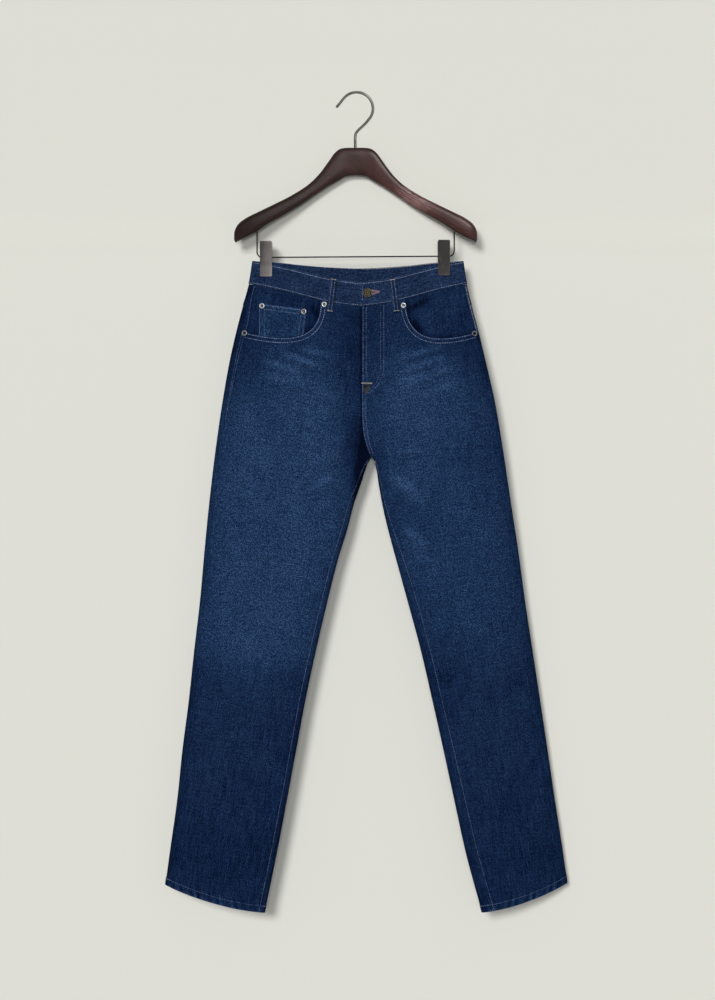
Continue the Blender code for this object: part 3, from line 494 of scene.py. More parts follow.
# ---------------------------------------------------------------- the skin
@dataclass(frozen=True)
class Skin:
    """The one surface that every cloth piece lies on: a front and a back sheet that meet
    in the side folds, in the folds inside the legs and in the notch of the crotch."""

    fold_run: float = 6.0
    fold_depth: float = 4.5
    waist_fold_depth: float = 3.4
    clip_x: tuple[float, float] = (-149.4, 144.0)
    pinch_width: float = 38.0
    pinch_fade: float = 70.0
    centre_front_x: float = 8.6
    centre_back_x: float = 2.0
    unevenness: float = 0.5
    unevenness_scale: float = 62.0

    def outer_fold(self, side: Side, z: Array) -> Array:
        """x of the side fold at a height."""
        below = np.minimum(z - SIDE_FOLDS[-1].z, 0)
        return smooth(SIDE_FOLDS, side.word, z) - FOOT_SLOPE[side] * below

    def inner_fold(self, side: Side, z: Array) -> Array:
        """x of the fold inside the leg."""
        return smooth(LEG_FOLDS, side.word, z)

    def inseam_inset(self, side: Side, z: Array) -> Array:
        """How far the inseam lies in front of the fold inside the leg."""
        return smooth(LEG_FOLDS, side.word + "_inset", z)

    def centre_x(self, z: Array, sheet: Sheet) -> Array:
        """x of the centre seam, which leans over to the notch.

        Args:
            z: heights, mm.
            sheet: the sheet.

        Returns:
            The places across, mm.
        """
        top = self.centre_front_x if sheet == FRONT else self.centre_back_x
        lean = np.clip((-500.0 - z) / (-500.0 - NOTCH_Z), 0, 1)
        return top + (NOTCH_X - top) * lean**3.5

    def fold_distance(self, side: Side, x: Array, z: Array) -> Array:
        """How far a point lies inside the nearest fold, in the plane of the garment.

        Args:
            side: the wearer's side.
            x: places across, mm.
            z: heights, mm.

        Returns:
            The distances, mm.
        """
        step = 0.5
        slope = (self.outer_fold(side, z + step) - self.outer_fold(side, z - step)) / (2 * step)
        outer = side * (self.outer_fold(side, z) - x) / np.sqrt(1 + slope**2)
        slope = (self.inner_fold(side, z + step) - self.inner_fold(side, z - step)) / (2 * step)
        near_notch = np.clip((NOTCH_Z - z) / 20.0, 0, 1)
        inner = side * (x - self.inner_fold(side, z)) / np.sqrt(1 + near_notch * slope**2)
        notch = np.hypot(x - NOTCH_X, z - NOTCH_Z)
        return np.minimum(outer, np.where(z >= NOTCH_Z, notch, inner))

    def crease_profile(self, crease: Crease, x: Array, z: Array, soft: float) -> Array:
        """The share of one crease's height at each point.

        Args:
            crease: the crease.
            x: places across, mm.
            z: heights, mm.
            soft: how gently it runs out at its ends.

        Returns:
            Shares from 0 to 1.
        """
        along_x, along_z = crease.x1 - crease.x0, crease.z1 - crease.z0
        length = math.hypot(along_x, along_z)
        along = ((x - crease.x0) * along_x + (z - crease.z0) * along_z) / length**2
        across = ((x - crease.x0) * along_z - (z - crease.z0) * along_x) / length
        ends = np.clip(1 - (2 * along - 1) ** 2, 0, 1) ** soft
        return ends * np.exp(-((across / crease.width) ** 2))

    def creases(self, side: Side, x: Array, z: Array, sheet: Sheet) -> Array:
        """How far the folds and the slight unevenness stand out of one sheet.

        Args:
            side: the wearer's side.
            x: places across, mm.
            z: heights, mm.
            sheet: the sheet.

        Returns:
            Heights over the even sheet, mm.
        """
        total = self.unevenness * drift(x, z, self.unevenness_scale, 11 + side + 4 * sheet)
        for table, down, soft in ((CREASES, z, 0.75), (WRINKLES, z + bow(x, z), WRINKLE_SOFT)):
            for crease in table:
                if (crease.side, crease.sheet) == (side, sheet):
                    total = total + crease.height * self.crease_profile(crease, x, down, soft)
        return total

    def body(self, side: Side, x: Array, z: Array, sheet: Sheet) -> Array:
        """The skin's y without the roundness of the folds themselves.

        Args:
            side: the wearer's side.
            x: places across, mm.
            z: heights, mm.
            sheet: the sheet.

        Returns:
            The y of each point, mm.
        """
        full = smooth(FULLNESS, sheet.word, z)
        reach = smooth(FULLNESS, "reach", z)
        inside = np.clip(self.fold_distance(side, x, z) / reach, 0, 1)
        below = np.maximum(WAIST.side - z, 0)
        pinch = np.exp(-below / self.pinch_fade)
        for clip_x in self.clip_x:
            width = self.pinch_width + 0.35 * below
            full = full * (1 - pinch * np.exp(-(((x - clip_x) / width) ** 4)))
        outer_y = smooth(HANGS, side.word + "_outer", z)
        inner_y = smooth(HANGS, side.word + "_inner", z)
        inner_x = self.inner_fold(side, z)
        across = np.clip((x - inner_x) / (self.outer_fold(side, z) - inner_x), 0, 1)
        middle = inner_y + (outer_y - inner_y) * across
        full = full * np.sin(math.pi / 2 * inside)
        creases = self.creases(side, x, z, sheet) * np.minimum(inside * 5, 1)
        return middle + sheet * (full + creases)

    def points(self, side: Side, x: Array, z: Array, sheet: Array, out: Array | float = 0.0) -> Array:
        """Points of the skin.

        Args:
            side: the wearer's side that the points are on.
            x: places across, mm.
            z: heights, mm.
            sheet: which sheet each point is on.
            out: how far to move each out along its normal, mm.

        Returns:
            The points, in mm.
        """
        x, z, sheet, out = np.broadcast_arrays(*(np.asarray(a, float) for a in (x, z, sheet, out)))
        front = sheet == FRONT

        def bodies(px: Array, pz: Array) -> Array:
            """The body of whichever sheet each point is on."""
            return np.where(front, self.body(side, px, pz, FRONT), self.body(side, px, pz, BACK))

        distance = np.maximum(self.fold_distance(side, x, z) - 0.01, 0)
        shallow = np.clip((z + 400.0) / 90.0, 0, 1)
        depth = self.fold_depth - (self.fold_depth - self.waist_fold_depth) * shallow
        run = np.minimum(distance / self.fold_run, 1)
        rise = np.sqrt(1 - (1 - run) ** 2)
        y = bodies(x, z) + sheet * depth * rise
        e = 0.05
        body_x = (bodies(x + e, z) - bodies(x - e, z)) / (2 * e)
        body_z = (bodies(x, z + e) - bodies(x, z - e)) / (2 * e)
        far_x = self.fold_distance(side, x + e, z) - self.fold_distance(side, x - e, z)
        far_z = self.fold_distance(side, x, z + e) - self.fold_distance(side, x, z - e)
        turn = depth / self.fold_run * (1 - run) / (2 * e)
        normal = np.stack(
            [
                -rise * sheet * body_x - turn * far_x,
                rise * sheet,
                -rise * sheet * body_z - turn * far_z,
            ],
            axis=-1,
        )
        return np.stack([x, y, z], axis=-1) + out[..., None] * unit(normal)


SKIN = Skin()


@dataclass(frozen=True)
class Cut:
    """Where the garment's seams lie on the skin, as rows and columns of points."""

    seam_gap: float = 0.3
    waist_gap: float = 0.45
    fly_width: float = 27.0
    fly_depth: float = 126.0
    waist_swing: float = 0.055
    waist_lift: float = 0.065
    right_outseam_inset: float = 8.0
    left_outseam_inset: float = 1.0

    def outseam_inset(self, side: Side) -> float:
        """How far the outseam lies in front of the side fold."""
        return self.right_outseam_inset if side == RIGHT else self.left_outseam_inset

    def outseam_x(self, side: Side, z: Array) -> Array:
        """x of the outseam."""
        return SKIN.outer_fold(side, z) - side * self.outseam_inset(side)

    def row_z(self, row: Row, side: Side, x: Array, sheet: Sheet) -> Array:
        """The height of a row at x.

        Args:
            row: the row.
            side: the wearer's side.
            x: places across, mm.
            sheet: the sheet.

        Returns:
            The heights, mm.
        """
        centre_z = row.front if sheet == FRONT else row.back
        fold_x = SKIN.outer_fold(side, row.side)
        if centre_z >= NOTCH_Z:
            centre = SKIN.centre_x(centre_z, sheet)
        else:
            centre = SKIN.inner_fold(side, centre_z)
        t = np.clip((x - fold_x) / (centre - fold_x), 0, 1)
        swing = self.waist_swing * np.sin(2 * math.pi * t) - self.waist_lift * np.sin(math.pi * t)
        curve = t - swing * np.clip((row.side - YOKE_SIDE_Z) / 36.0, 0, 1)
        return row.side + (centre_z - row.side) * curve - row.sag * 4 * t * (1 - t)

    def lay(self, side: Side, row: Row, path: list, distances: Array) -> Array:
        """Points along a row.

        Args:
            side: the wearer's side.
            row: the row.
            path: corners as (x, sheet); a stretch is on the sheet of its first corner.
            distances: how far along the path each point lies, mm.

        Returns:
            The points as (x, z, sheet).
        """
        corners = np.array(path, float)
        lengths = np.abs(corners[1:, 0] - corners[:-1, 0])
        ends = np.concatenate([[0], np.cumsum(lengths)])
        at = np.clip(np.searchsorted(ends, distances, side="right") - 1, 0, len(lengths) - 1)
        t = (distances - ends[at]) / np.maximum(lengths[at], 1e-9)
        x = corners[at, 0] * (1 - t) + corners[at + 1, 0] * t
        sheet = corners[at, 1]
        front = self.row_z(row, side, x, FRONT)
        back = self.row_z(row, side, x, BACK)
        return np.stack([x, np.where(sheet == FRONT, front, back), sheet], axis=-1)

    @staticmethod
    def knots(start: list, end: list, middle: int, length: float) -> Array:
        """Distances of a row's knots: given steps at both ends and even ones between.

        Args:
            start: the first knots' distances from the row's start, mm.
            end: the last knots' distances from its end, mm.
            middle: how many knots stand evenly between.
            length: the row's length, mm.

        Returns:
            The distances, rising.
        """
        first = np.array(start, float)
        last = length - np.array(end, float)[::-1]
        between = np.linspace(first[-1], last[0], middle + 2)[1:-1]
        return np.concatenate([first, between, last])

    @staticmethod
    def path_length(path: list) -> float:
        """The length of a row's path."""
        corners = np.array(path, float)
        return float(np.abs(corners[1:, 0] - corners[:-1, 0]).sum())

    def front_row(self, side: Side, row: Row, columns: Array) -> Array:
        """A front panel's row, from the outseam to the centre front or the inseam.

        Args:
            side: the wearer's side.
            row: the row.
            columns: fractional columns of the piece's grid.

        Returns:
            A point (x, z, sheet) for each column.
        """
        gap = side * self.seam_gap / 2
        if row.front >= NOTCH_Z:
            end_x = SKIN.centre_x(row.front, FRONT)
        else:
            end_x = SKIN.inner_fold(side, row.front) + side * SKIN.inseam_inset(side, row.front)
        leg = np.clip((WAIST.front - self.fly_depth - row.front) / 100.0, 0, 1)
        fly = np.array([0, 13, self.fly_width, self.fly_width + 1.5])
        ends = fly * (1 - leg) + np.array([0, 4, 11, 20]) * leg
        path = [(self.outseam_x(side, row.side) - gap, FRONT), (end_x + gap, FRONT)]
        knots = self.knots([0, 2.5, 6, 16], ends, 8, self.path_length(path))
        return self.lay(side, row, path, np.interp(columns, np.arange(len(knots)), knots))

    def back_row(self, side: Side, row: Row, columns: Array) -> Array:
        """A back panel's row, from the outseam round the side fold to the centre back, or
        round the inner fold to the inseam.

        Args:
            side: the wearer's side.
            row: the row.
            columns: fractional columns of the piece's grid.

        Returns:
            A point (x, z, sheet) for each column.
        """
        gap = self.seam_gap / 2
        fold_x = SKIN.outer_fold(side, row.side)
        wrap = self.outseam_inset(side) - gap
        path = [(fold_x - side * wrap, FRONT), (fold_x, BACK)]
        if row.back >= NOTCH_Z:
            path.append((SKIN.centre_x(row.back, BACK) + side * gap, BACK))
            far = 4.0
        else:
            inner_x = SKIN.inner_fold(side, row.back)
            inset = SKIN.inseam_inset(side, row.back) - gap
            if inset > 0:
                path += [(inner_x, FRONT), (inner_x + side * inset, FRONT)]
            else:
                path.append((inner_x - side * inset, BACK))
            far = max(inset, 4.0)
        starts = [0, wrap * 0.55, wrap, wrap + 1.2, wrap + 4, wrap + 9, wrap + 22]
        ends = [0, far * 0.55, far, far + 1.2, far + 4, far + 10]
        knots = self.knots(starts, ends, 5, self.path_length(path))
        return self.lay(side, row, path, np.interp(columns, np.arange(len(knots)), knots))

    def mouth(self, side: Side, t: Array) -> Array:
        """x and z on the pocket's mouth, from the waist seam at 0 to the outseam at 1.

        Args:
            side: the wearer's side.
            t: shares of the way.

        Returns:
            A place (x, z) for each share.
        """
        a, b, c, d = (np.array(p) for p in MOUTHS[side])
        t = np.asarray(t, float)[..., None]
        return (1 - t) ** 3 * a + 3 * t * (1 - t) ** 2 * b + 3 * t**2 * (1 - t) * c + t**3 * d

    def past_mouth(self, side: Side, t: Array, lap: float) -> Array:
        """Points under the front panel, lap beyond the pocket's mouth; negative is inside.

        Args:
            side: the wearer's side.
            t: shares of the way along the mouth.
            lap: how far beyond it, mm.

        Returns:
            A place (x, z) for each share.
        """
        e = 0.001
        along = self.mouth(side, np.asarray(t) + e) - self.mouth(side, np.asarray(t) - e)
        along = unit(along)
        away = np.stack([along[..., 1], -along[..., 0]], axis=-1) * side
        return self.mouth(side, t) + lap * away

    def waist_z(self, side: Side, x: Array) -> Array:
        """Height of the front waist seam."""
        return self.row_z(WAIST, side, x, FRONT)


CUT = Cut()


def row_at(place: float) -> Row:
    """A row between two of the table's, by a fractional place in it.

    Args:
        place: the place: 2.5 is halfway from row 2 to row 3.

    Returns:
        The row.
    """
    at = min(int(place), len(ROWS) - 2)
    t = place - at
    return Row(*(a * (1 - t) + b * t for a, b in zip(ROWS[at], ROWS[at + 1])))


def patch(top: Array, foot: Array, start: Array, end: Array) -> Array:
    """A grid of (x, z) filled in between four edges.

    Args:
        top: the places (x, z) on its upper edge.
        foot: those on its lower edge.
        start: those on its first side, from the top.
        end: those on its other side.

    Returns:
        The grid, row by row.
    """
    u = np.linspace(0, 1, len(top))[None, :, None]
    v = np.linspace(0, 1, len(start))[:, None, None]
    corners = (
        (1 - u) * (1 - v) * top[0]
        + u * (1 - v) * top[-1]
        + (1 - u) * v * foot[0]
        + u * v * foot[-1]
    )
    across = (1 - v) * top[None] + v * foot[None]
    down = (1 - u) * start[:, None] + u * end[:, None]
    return across + down - corners


def on_sheet(points: Array, sheet: Sheet) -> Array:
    """The same points of (x, z) as (x, z, sheet)."""
    return np.concatenate([points, np.full(points.shape[:-1] + (1,), float(sheet))], axis=-1)


def wash_at(side: Side, x: Array, z: Array, sheet: Array) -> Array:
    """How light the dye has washed, from 0, as dyed, to 1, worn pale, with painted shade in the deep
    fold beside the fork and in the creases' troughs.

    Args:
        side: the wearer's side.
        x: places across, mm.
        z: heights, mm.
        sheet: which sheet each point is on.

    Returns:
        A value for each point.
    """
    front = smooth(WASHES, side.word, z)
    fade = np.where(sheet == FRONT, front, smooth(WASHES, "back", z))
    # Darker beside the folds, in a broad strip down to the shins and in a narrow one below.
    above_shin = ease((z + 1130.0) / 220.0)
    inside = SKIN.fold_distance(side, x, z)
    rim = 0.16 if side == RIGHT else 0.10
    fade = fade - 0.14 * np.exp(-inside / 26.0) * above_shin - rim * np.exp(-inside / 7.0)
    # The left hip is a shade darker towards its outside and lighter towards the fly.
    hip = np.clip((x - 118.0) / 70.0, -1, 1) * ease((z + 700.0) / 160.0) * (side == LEFT)
    fade = fade - 0.065 * hip
    # The right hip's outside is darker, and beside the fork a painted shadow fills the deep fold, where
    # the cloth turns away from the light.
    outer = ease((-x - 110.0) / 60.0) * ease((z + 560.0) / 120.0) * (side == RIGHT)
    fork_fold_shadow = np.exp(-(((x + 14.0) / 26.0) ** 2) - ((z + 590.0) / 62.0) ** 2) * (side == RIGHT)
    fade = fade - 0.07 * outer - 0.14 * fork_fold_shadow
    # Darker again in a strip down the centre seam, over the fly and the seat.
    middle = np.exp(-(((x - SKIN.centre_x(z, FRONT)) / 42.0) ** 2)) * ease((z + 690.0) / 160.0)
    fade = fade - 0.23 * middle
    # The creases' ridges have rubbed pale in broken lines, and troughs with a negative wear are painted
    # darker in shade.
    bowed = z + bow(x, z)
    broken = 0.9 + 0.25 * drift(x, z, 26.0, 21)
    for crease in CREASES + WRINKLES:
        if crease.side == side:
            line = crease.wear * SKIN.crease_profile(crease, x, bowed, WRINKLE_SOFT) * broken
            fade = fade + np.where(sheet == crease.sheet, line, 0)
    return fade + 0.03 * drift(x, z, 45.0, 9) + 0.03 * drift(x, 0.3 * z, 9.0, 19)


# ---------------------------------------------------------------- colours and nodes
Stops = tuple[tuple[float, str], ...]


def linear(colour: str) -> tuple[float, float, float, float]:
    """A colour written as sRGB hex, as the linear values that a shader takes."""
    parts = [int(colour[i : i + 2], 16) / 255 for i in (1, 3, 5)]
    return (*(c / 12.92 if c <= 0.04045 else ((c + 0.055) / 1.055) ** 2.4 for c in parts), 1.0)


def fill(made: Node, *values: object, **named: object) -> Node:
    """Gives a node its settings and links.

    Args:
        made: the node.
        values: what goes into its first inputs, in order.
        named: its own settings, by their names in small letters, and what goes into other
            inputs, by names with a capital and an underscore for each blank.

    Returns:
        The node.
    """
    for name in [name for name in named if name.islower()]:
        setattr(made, name, named.pop(name))
    for name, value in (*enumerate(values), *named.items()):
        name = name.replace("_", " ") if isinstance(name, str) else name
        if isinstance(value, Socket):
            made.id_data.links.new(value, made.inputs[name])
        else:
            made.inputs[name].default_value = value
    return made


def add(
    tree: Tree, kind: str, *values: object, out: str | int = 0, stops: Stops = (), **named: object
) -> Socket:
    """Adds a node with its settings and links.

    Args:
        tree: the tree that it goes into.
        kind: the node's type, without the word that every shader node's starts with.
        values: what goes into its first inputs, in order: sockets or values.
        out: the output that is wanted, by name or number.
        stops: the places and colours of a ramp, in order.
        named: its settings and other inputs, as fill takes them.

    Returns:
        The wanted output.
    """
    made = fill(tree.nodes.new("ShaderNode" + kind), *values, **named)
    for index, (place, colour) in enumerate(stops):
        ramp = made.color_ramp.elements
        stop = ramp[index] if index < 2 else ramp.new(place)
        stop.position, stop.color = place, linear(colour)
    return made.outputs[out]


@dataclass(frozen=True)
class Grain:
    """Uneven lumps of a real size along each axis: fibres, wear, pores or scratches."""

    size_mm: tuple[float, float, float]
    detail: float = 2.0
    rough: float = 0.5

    def on(self, tree: Tree, place: Socket) -> Socket:
        """Its value, about a half, at a place in metres.

        Args:
            tree: the material's tree.
            place: where it is read.

        Returns:
            The noise.
        """
        counts = [1 / (MM * size) for size in self.size_mm]
        place = add(tree, "VectorMath", place, counts, operation="MULTIPLY")
        return add(tree, "TexNoise", place, Scale=1.0, Detail=self.detail, Roughness=self.rough)


def sway(tree: Tree, tone: Socket, grain: Socket, strength: float | Socket) -> Socket:
    """A tone moved up and down by a grain, about the grain's half."""
    centred = add(tree, "Math", grain, 0.5, operation="SUBTRACT")
    return add(tree, "Math", centred, strength, tone, operation="MULTIPLY_ADD")


def blank(name: str) -> tuple[Material, Tree, Node]:
    """A new material with its tree and its shader.

    Args:
        name: its name.

    Returns:
        The material, its tree and its shader.
    """
    made = bpy.data.materials.new(name)
    made.use_nodes = True
    return made, made.node_tree, made.node_tree.nodes["Principled BSDF"]


# ---------------------------------------------------------------- finishes
# The waistband and the loops, which a belt rubs, are a little greyer at every depth of dye.
GREYED_TONES = (
    (0.0, "#080e1f"),
    (0.25, "#121f39"),
    (0.5, "#20314f"),
    (0.62, "#283a57"),
    (0.75, "#304363"),
    (0.9, "#3a5072"),
    (1.0, "#435a80"),
)


@dataclass(frozen=True)
class Denim:
    """Ring-spun indigo denim, three-by-one right-hand twill, washed and sanded. The indigo
    warp covers the white weft, so the face is deep blue and pale flecks come up where the
    dye has worn. The real twill line is 0.6 mm wide and a fleck half a millimetre; they are
    drawn 2.9 and 1.9 mm wide, because finer ones would melt into one tone in the render."""

    name: str = "denim_indigo_twill"
    tones: Stops = (
        (0.0, "#040c1f"),
        (0.25, "#0d1c39"),
        (0.5, "#192e4e"),
        (0.62, "#203756"),
        (0.75, "#284063"),
        (0.9, "#324d72"),
        (1.0, "#3b5780"),
    )
    twill_mm: float = 2.9
    twill_way: tuple[float, float, float] = (0.88, 0.48, 0.0)
    twill_strength: float = 0.045
    fleck: Grain = Grain((1.8, 1.9, 9.0), 1.0, 0.6)
    slub: Grain = Grain((1.8, 34.0, 9.0), 2.0, 0.6)
    weft: Grain = Grain((26.0, 1.9, 9.0))
    mottle: Grain = Grain((14.0, 22.0, 9.0), 3.0, 0.6)
    # Flecks show more as the dye wears and slubs less: the gain with the fade, and the start.
    fleck_gain: tuple[float, float] = (2.6, 0.4)
    slub_gain: tuple[float, float] = (-1.4, 1.1)
    weft_strength: float = 0.3
    mottle_strength: float = 0.05
    relief_mm: float = 0.35

    def make(self) -> Material:
        """Makes the material.

        Returns:
            The material.
        """
        made, tree, shader = blank(self.name)
        cloth = add(tree, "Attribute", attribute_name="cloth", out="Vector")
        # The fade attribute brings the dye's wash, lighter, and painted shade, darker, in crease
        # troughs, deep folds and seams.
        fade = add(tree, "Attribute", attribute_name="fade", out="Fac")
        fleck, slub = self.fleck.on(tree, cloth), self.slub.on(tree, cloth)
        weft, mottle = self.weft.on(tree, cloth), self.mottle.on(tree, cloth)
        lines = [2 * math.pi / (MM * self.twill_mm) * way for way in self.twill_way]
        across = add(tree, "VectorMath", cloth, lines, operation="DOT_PRODUCT", out="Value")
        twill = add(tree, "Math", across, operation="SINE")
        tone = add(tree, "Math", twill, self.twill_strength, fade, operation="MULTIPLY_ADD")
        pale = add(tree, "Math", fade, *self.fleck_gain, operation="MULTIPLY_ADD")
        dyed = add(tree, "Math", fade, *self.slub_gain, operation="MULTIPLY_ADD")
        strengths = (pale, dyed, self.weft_strength, self.mottle_strength)
        for grain, strength in zip((fleck, slub, weft, mottle), strengths):
            tone = sway(tree, tone, grain, strength)
        height = slub
        for grain, strength in ((fleck, 0.8), (twill, 0.16), (weft, 0.4)):
            height = add(tree, "Math", grain, strength, height, operation="MULTIPLY_ADD")
        bump = add(tree, "Bump", Height=height, Strength=0.4, Distance=self.relief_mm * MM)
        colour = add(tree, "ValToRGB", tone, stops=self.tones)
        fill(shader, Base_Color=colour, Normal=bump, Roughness=0.94, Specular_IOR_Level=0.04)
        fill(shader, Sheen_Weight=0.0)
        return made


@dataclass(frozen=True)
class DenimReverse:
    """The same twill from behind, where the undyed weft shows: greyish pale blue with dark
    ticks of warp."""

    name: str = "denim_reverse"
    warp: str = "#2a3a57"
    weft: str = "#7f8ca0"
    tick: Grain = Grain((1.6, 2.4, 9.0), 2.0, 0.6)
    slub: Grain = Grain((30.0, 2.0, 9.0))

    def make(self) -> Material:
        """Makes the material.

        Returns:
            The material.
        """
        made, tree, shader = blank(self.name)
        cloth = add(tree, "Attribute", attribute_name="cloth", out="Vector")
        tone = sway(tree, self.tick.on(tree, cloth), self.slub.on(tree, cloth), 0.6)
        share = add(tree, "MapRange", tone, 0.36, 0.66, 0.0, 1.0, interpolation_type="SMOOTHSTEP")
        colour = add(tree, "ValToRGB", share, stops=((0.0, self.warp), (1.0, self.weft)))
        bump = add(tree, "Bump", Height=tone, Strength=0.5, Distance=0.3 * MM)
        fill(shader, Base_Color=colour, Normal=bump, Roughness=0.92, Specular_IOR_Level=0.12)
        return made


@dataclass(frozen=True)
class Thread:
    """Core-spun polyester sewing thread, dyed: a soft low shine along each stitch."""

    name: str
    colour: str
    shade: str
    mottle: Grain = Grain((5.0, 5.0, 5.0), 2.0, 0.7)
    twist: Grain = Grain((0.5, 0.5, 0.5), 1.0)

    def make(self) -> Material:
        """Makes the material.

        Returns:
            The material.
        """
        made, tree, shader = blank(self.name)
        place = add(tree, "NewGeometry", out="Position")
        tone = self.mottle.on(tree, place)
        share = add(tree, "MapRange", tone, 0.35, 0.65, 0.0, 1.0, interpolation_type="SMOOTHSTEP")
        colour = add(tree, "ValToRGB", share, stops=((0.0, self.shade), (1.0, self.colour)))
        bump = add(tree, "Bump", Height=self.twist.on(tree, place), Strength=0.4, Distance=0.2 * MM)
        fill(shader, Base_Color=colour, Normal=bump, Roughness=0.62, Specular_IOR_Level=0.3)
        return made


@dataclass(frozen=True)
class Metal:
    """A plated metal, bright where it is rubbed and darker in its hollows, by the mesh's patina
    attribute; on the clips' plates that attribute also carries painted shade."""

    name: str
    bright: str
    dark: str
    smooth: float
    dull: float
    cloud: Grain = Grain((3.0, 3.0, 3.0), 4.0, 0.6)
    scratch: Grain = Grain((0.6, 0.6, 2.5), 3.0, 0.6)
    relief_mm: float = 0.03

    def make(self) -> Material:
        """Makes the material.

        Returns:
            The material.
        """
        made, tree, shader = blank(self.name)
        place = add(tree, "NewGeometry", out="Position")
        cloud = self.cloud.on(tree, place)
        patina = add(tree, "Attribute", attribute_name="patina", out="Fac")
        spread = sway(tree, patina, cloud, 0.7)
        colour = add(tree, "ValToRGB", spread, stops=((0.0, self.bright), (1.0, self.dark)))
        ends = (0.0, 1.0, self.smooth, self.dull)
        rough = add(tree, "MapRange", spread, *ends, interpolation_type="SMOOTHSTEP")
        height = self.scratch.on(tree, place)
        bump = add(tree, "Bump", Height=height, Strength=0.5, Distance=self.relief_mm * MM)
        fill(shader, Base_Color=colour, Roughness=rough, Normal=bump, Metallic=1.0)
        return made


@dataclass(frozen=True)
class StainedWood:
    """Beech, bent and milled, stained dark walnut red under a satin lacquer: close straight
    grain along the arm, short dark pores and a clear broad shine."""

    name: str = "beech_walnut_stain_lacquered"
    stops: Stops = (
        (0.0, "#1c1110"),
        (0.5, "#36231f"),
        (0.85, "#533532"),
        (1.0, "#856864"),
    )
    ring_mm: float = 3.4
    warp: Grain = Grain((70.0, 14.0, 14.0), 3.0, 0.55)
    pores: Grain = Grain((11.0, 0.7, 0.7), 2.0, 0.6)
    broad: Grain = Grain((55.0, 30.0, 30.0))

    def make(self) -> Material:
        """Makes the material.

        Returns:
            The material.
        """
        made, tree, shader = blank(self.name)
        grain = add(tree, "Attribute", attribute_name="grain", out="Vector")
        warp = self.warp.on(tree, grain)
        across = add(tree, "SeparateXYZ", grain, out=1)
        across = add(tree, "Math", across, 1 / (MM * self.ring_mm), operation="MULTIPLY")
        rings = add(tree, "Math", warp, 5.0, across, operation="MULTIPLY_ADD")
        turns = add(tree, "Math", rings, 2 * math.pi, operation="MULTIPLY")
        wave = add(tree, "Math", turns, operation="SINE")
        tone = add(tree, "Math", wave, 0.10, 0.42, operation="MULTIPLY_ADD")
        pores = self.pores.on(tree, grain)
        broad = self.broad.on(tree, grain)
        tone = sway(tree, sway(tree, tone, pores, 0.4), broad, 0.7)
        # The stain attribute brings the stain's own depth and a painted sheen on the neck and the right
        # arm.
        stain = add(tree, "Attribute", attribute_name="stain", out="Fac")
        tone = add(tree, "Math", tone, stain, operation="ADD")
        colour = add(tree, "ValToRGB", tone, stops=self.stops)
        bump = add(tree, "Bump", Height=pores, Strength=0.25, Distance=0.1 * MM)
        fill(shader, Base_Color=colour, Normal=bump, Roughness=0.6, Specular_IOR_Level=0.12)
        fill(shader, Coat_Weight=0.5, Coat_Roughness=0.25)
        return made


@dataclass(frozen=True)
class Plaster:
    """Flat emulsion on plaster: one even pale tone with a trace of roller texture."""

    name: str
    colour: str
    one_sided: bool = False
    roller: Grain = Grain((700.0, 700.0, 700.0))
    dip: float = 0.985

    def make(self) -> Material:
        """Makes the material; a one-sided one lets light and sight through from behind.

        Returns:
            The material.
        """
        made, tree, shader = blank(self.name)
        place = add(tree, "NewGeometry", out="Position")
        tone = self.roller.on(tree, place)
        base = linear(self.colour)
        dimmer = tuple(c * self.dip for c in base[:3]) + (1.0,)
        paint = add(tree, "Mix", tone, data_type="RGBA", out=2)
        for index, colour in ((6, dimmer), (7, base)):
            paint.node.inputs[index].default_value = colour
        shade = add(tree, "Attribute", attribute_name="tone", out="Fac")
        laid = add(tree, "VectorMath", paint, Scale=shade, operation="SCALE")
        fill(shader, Base_Color=laid, Roughness=0.95, Specular_IOR_Level=0.1)
        if self.one_sided:
            back, clear = place.node.outputs["Backfacing"], add(tree, "BsdfTransparent")
            chosen = add(tree, "MixShader", back, shader.outputs[0], clear)
            fill(tree.nodes["Material Output"], Surface=chosen)
        return made


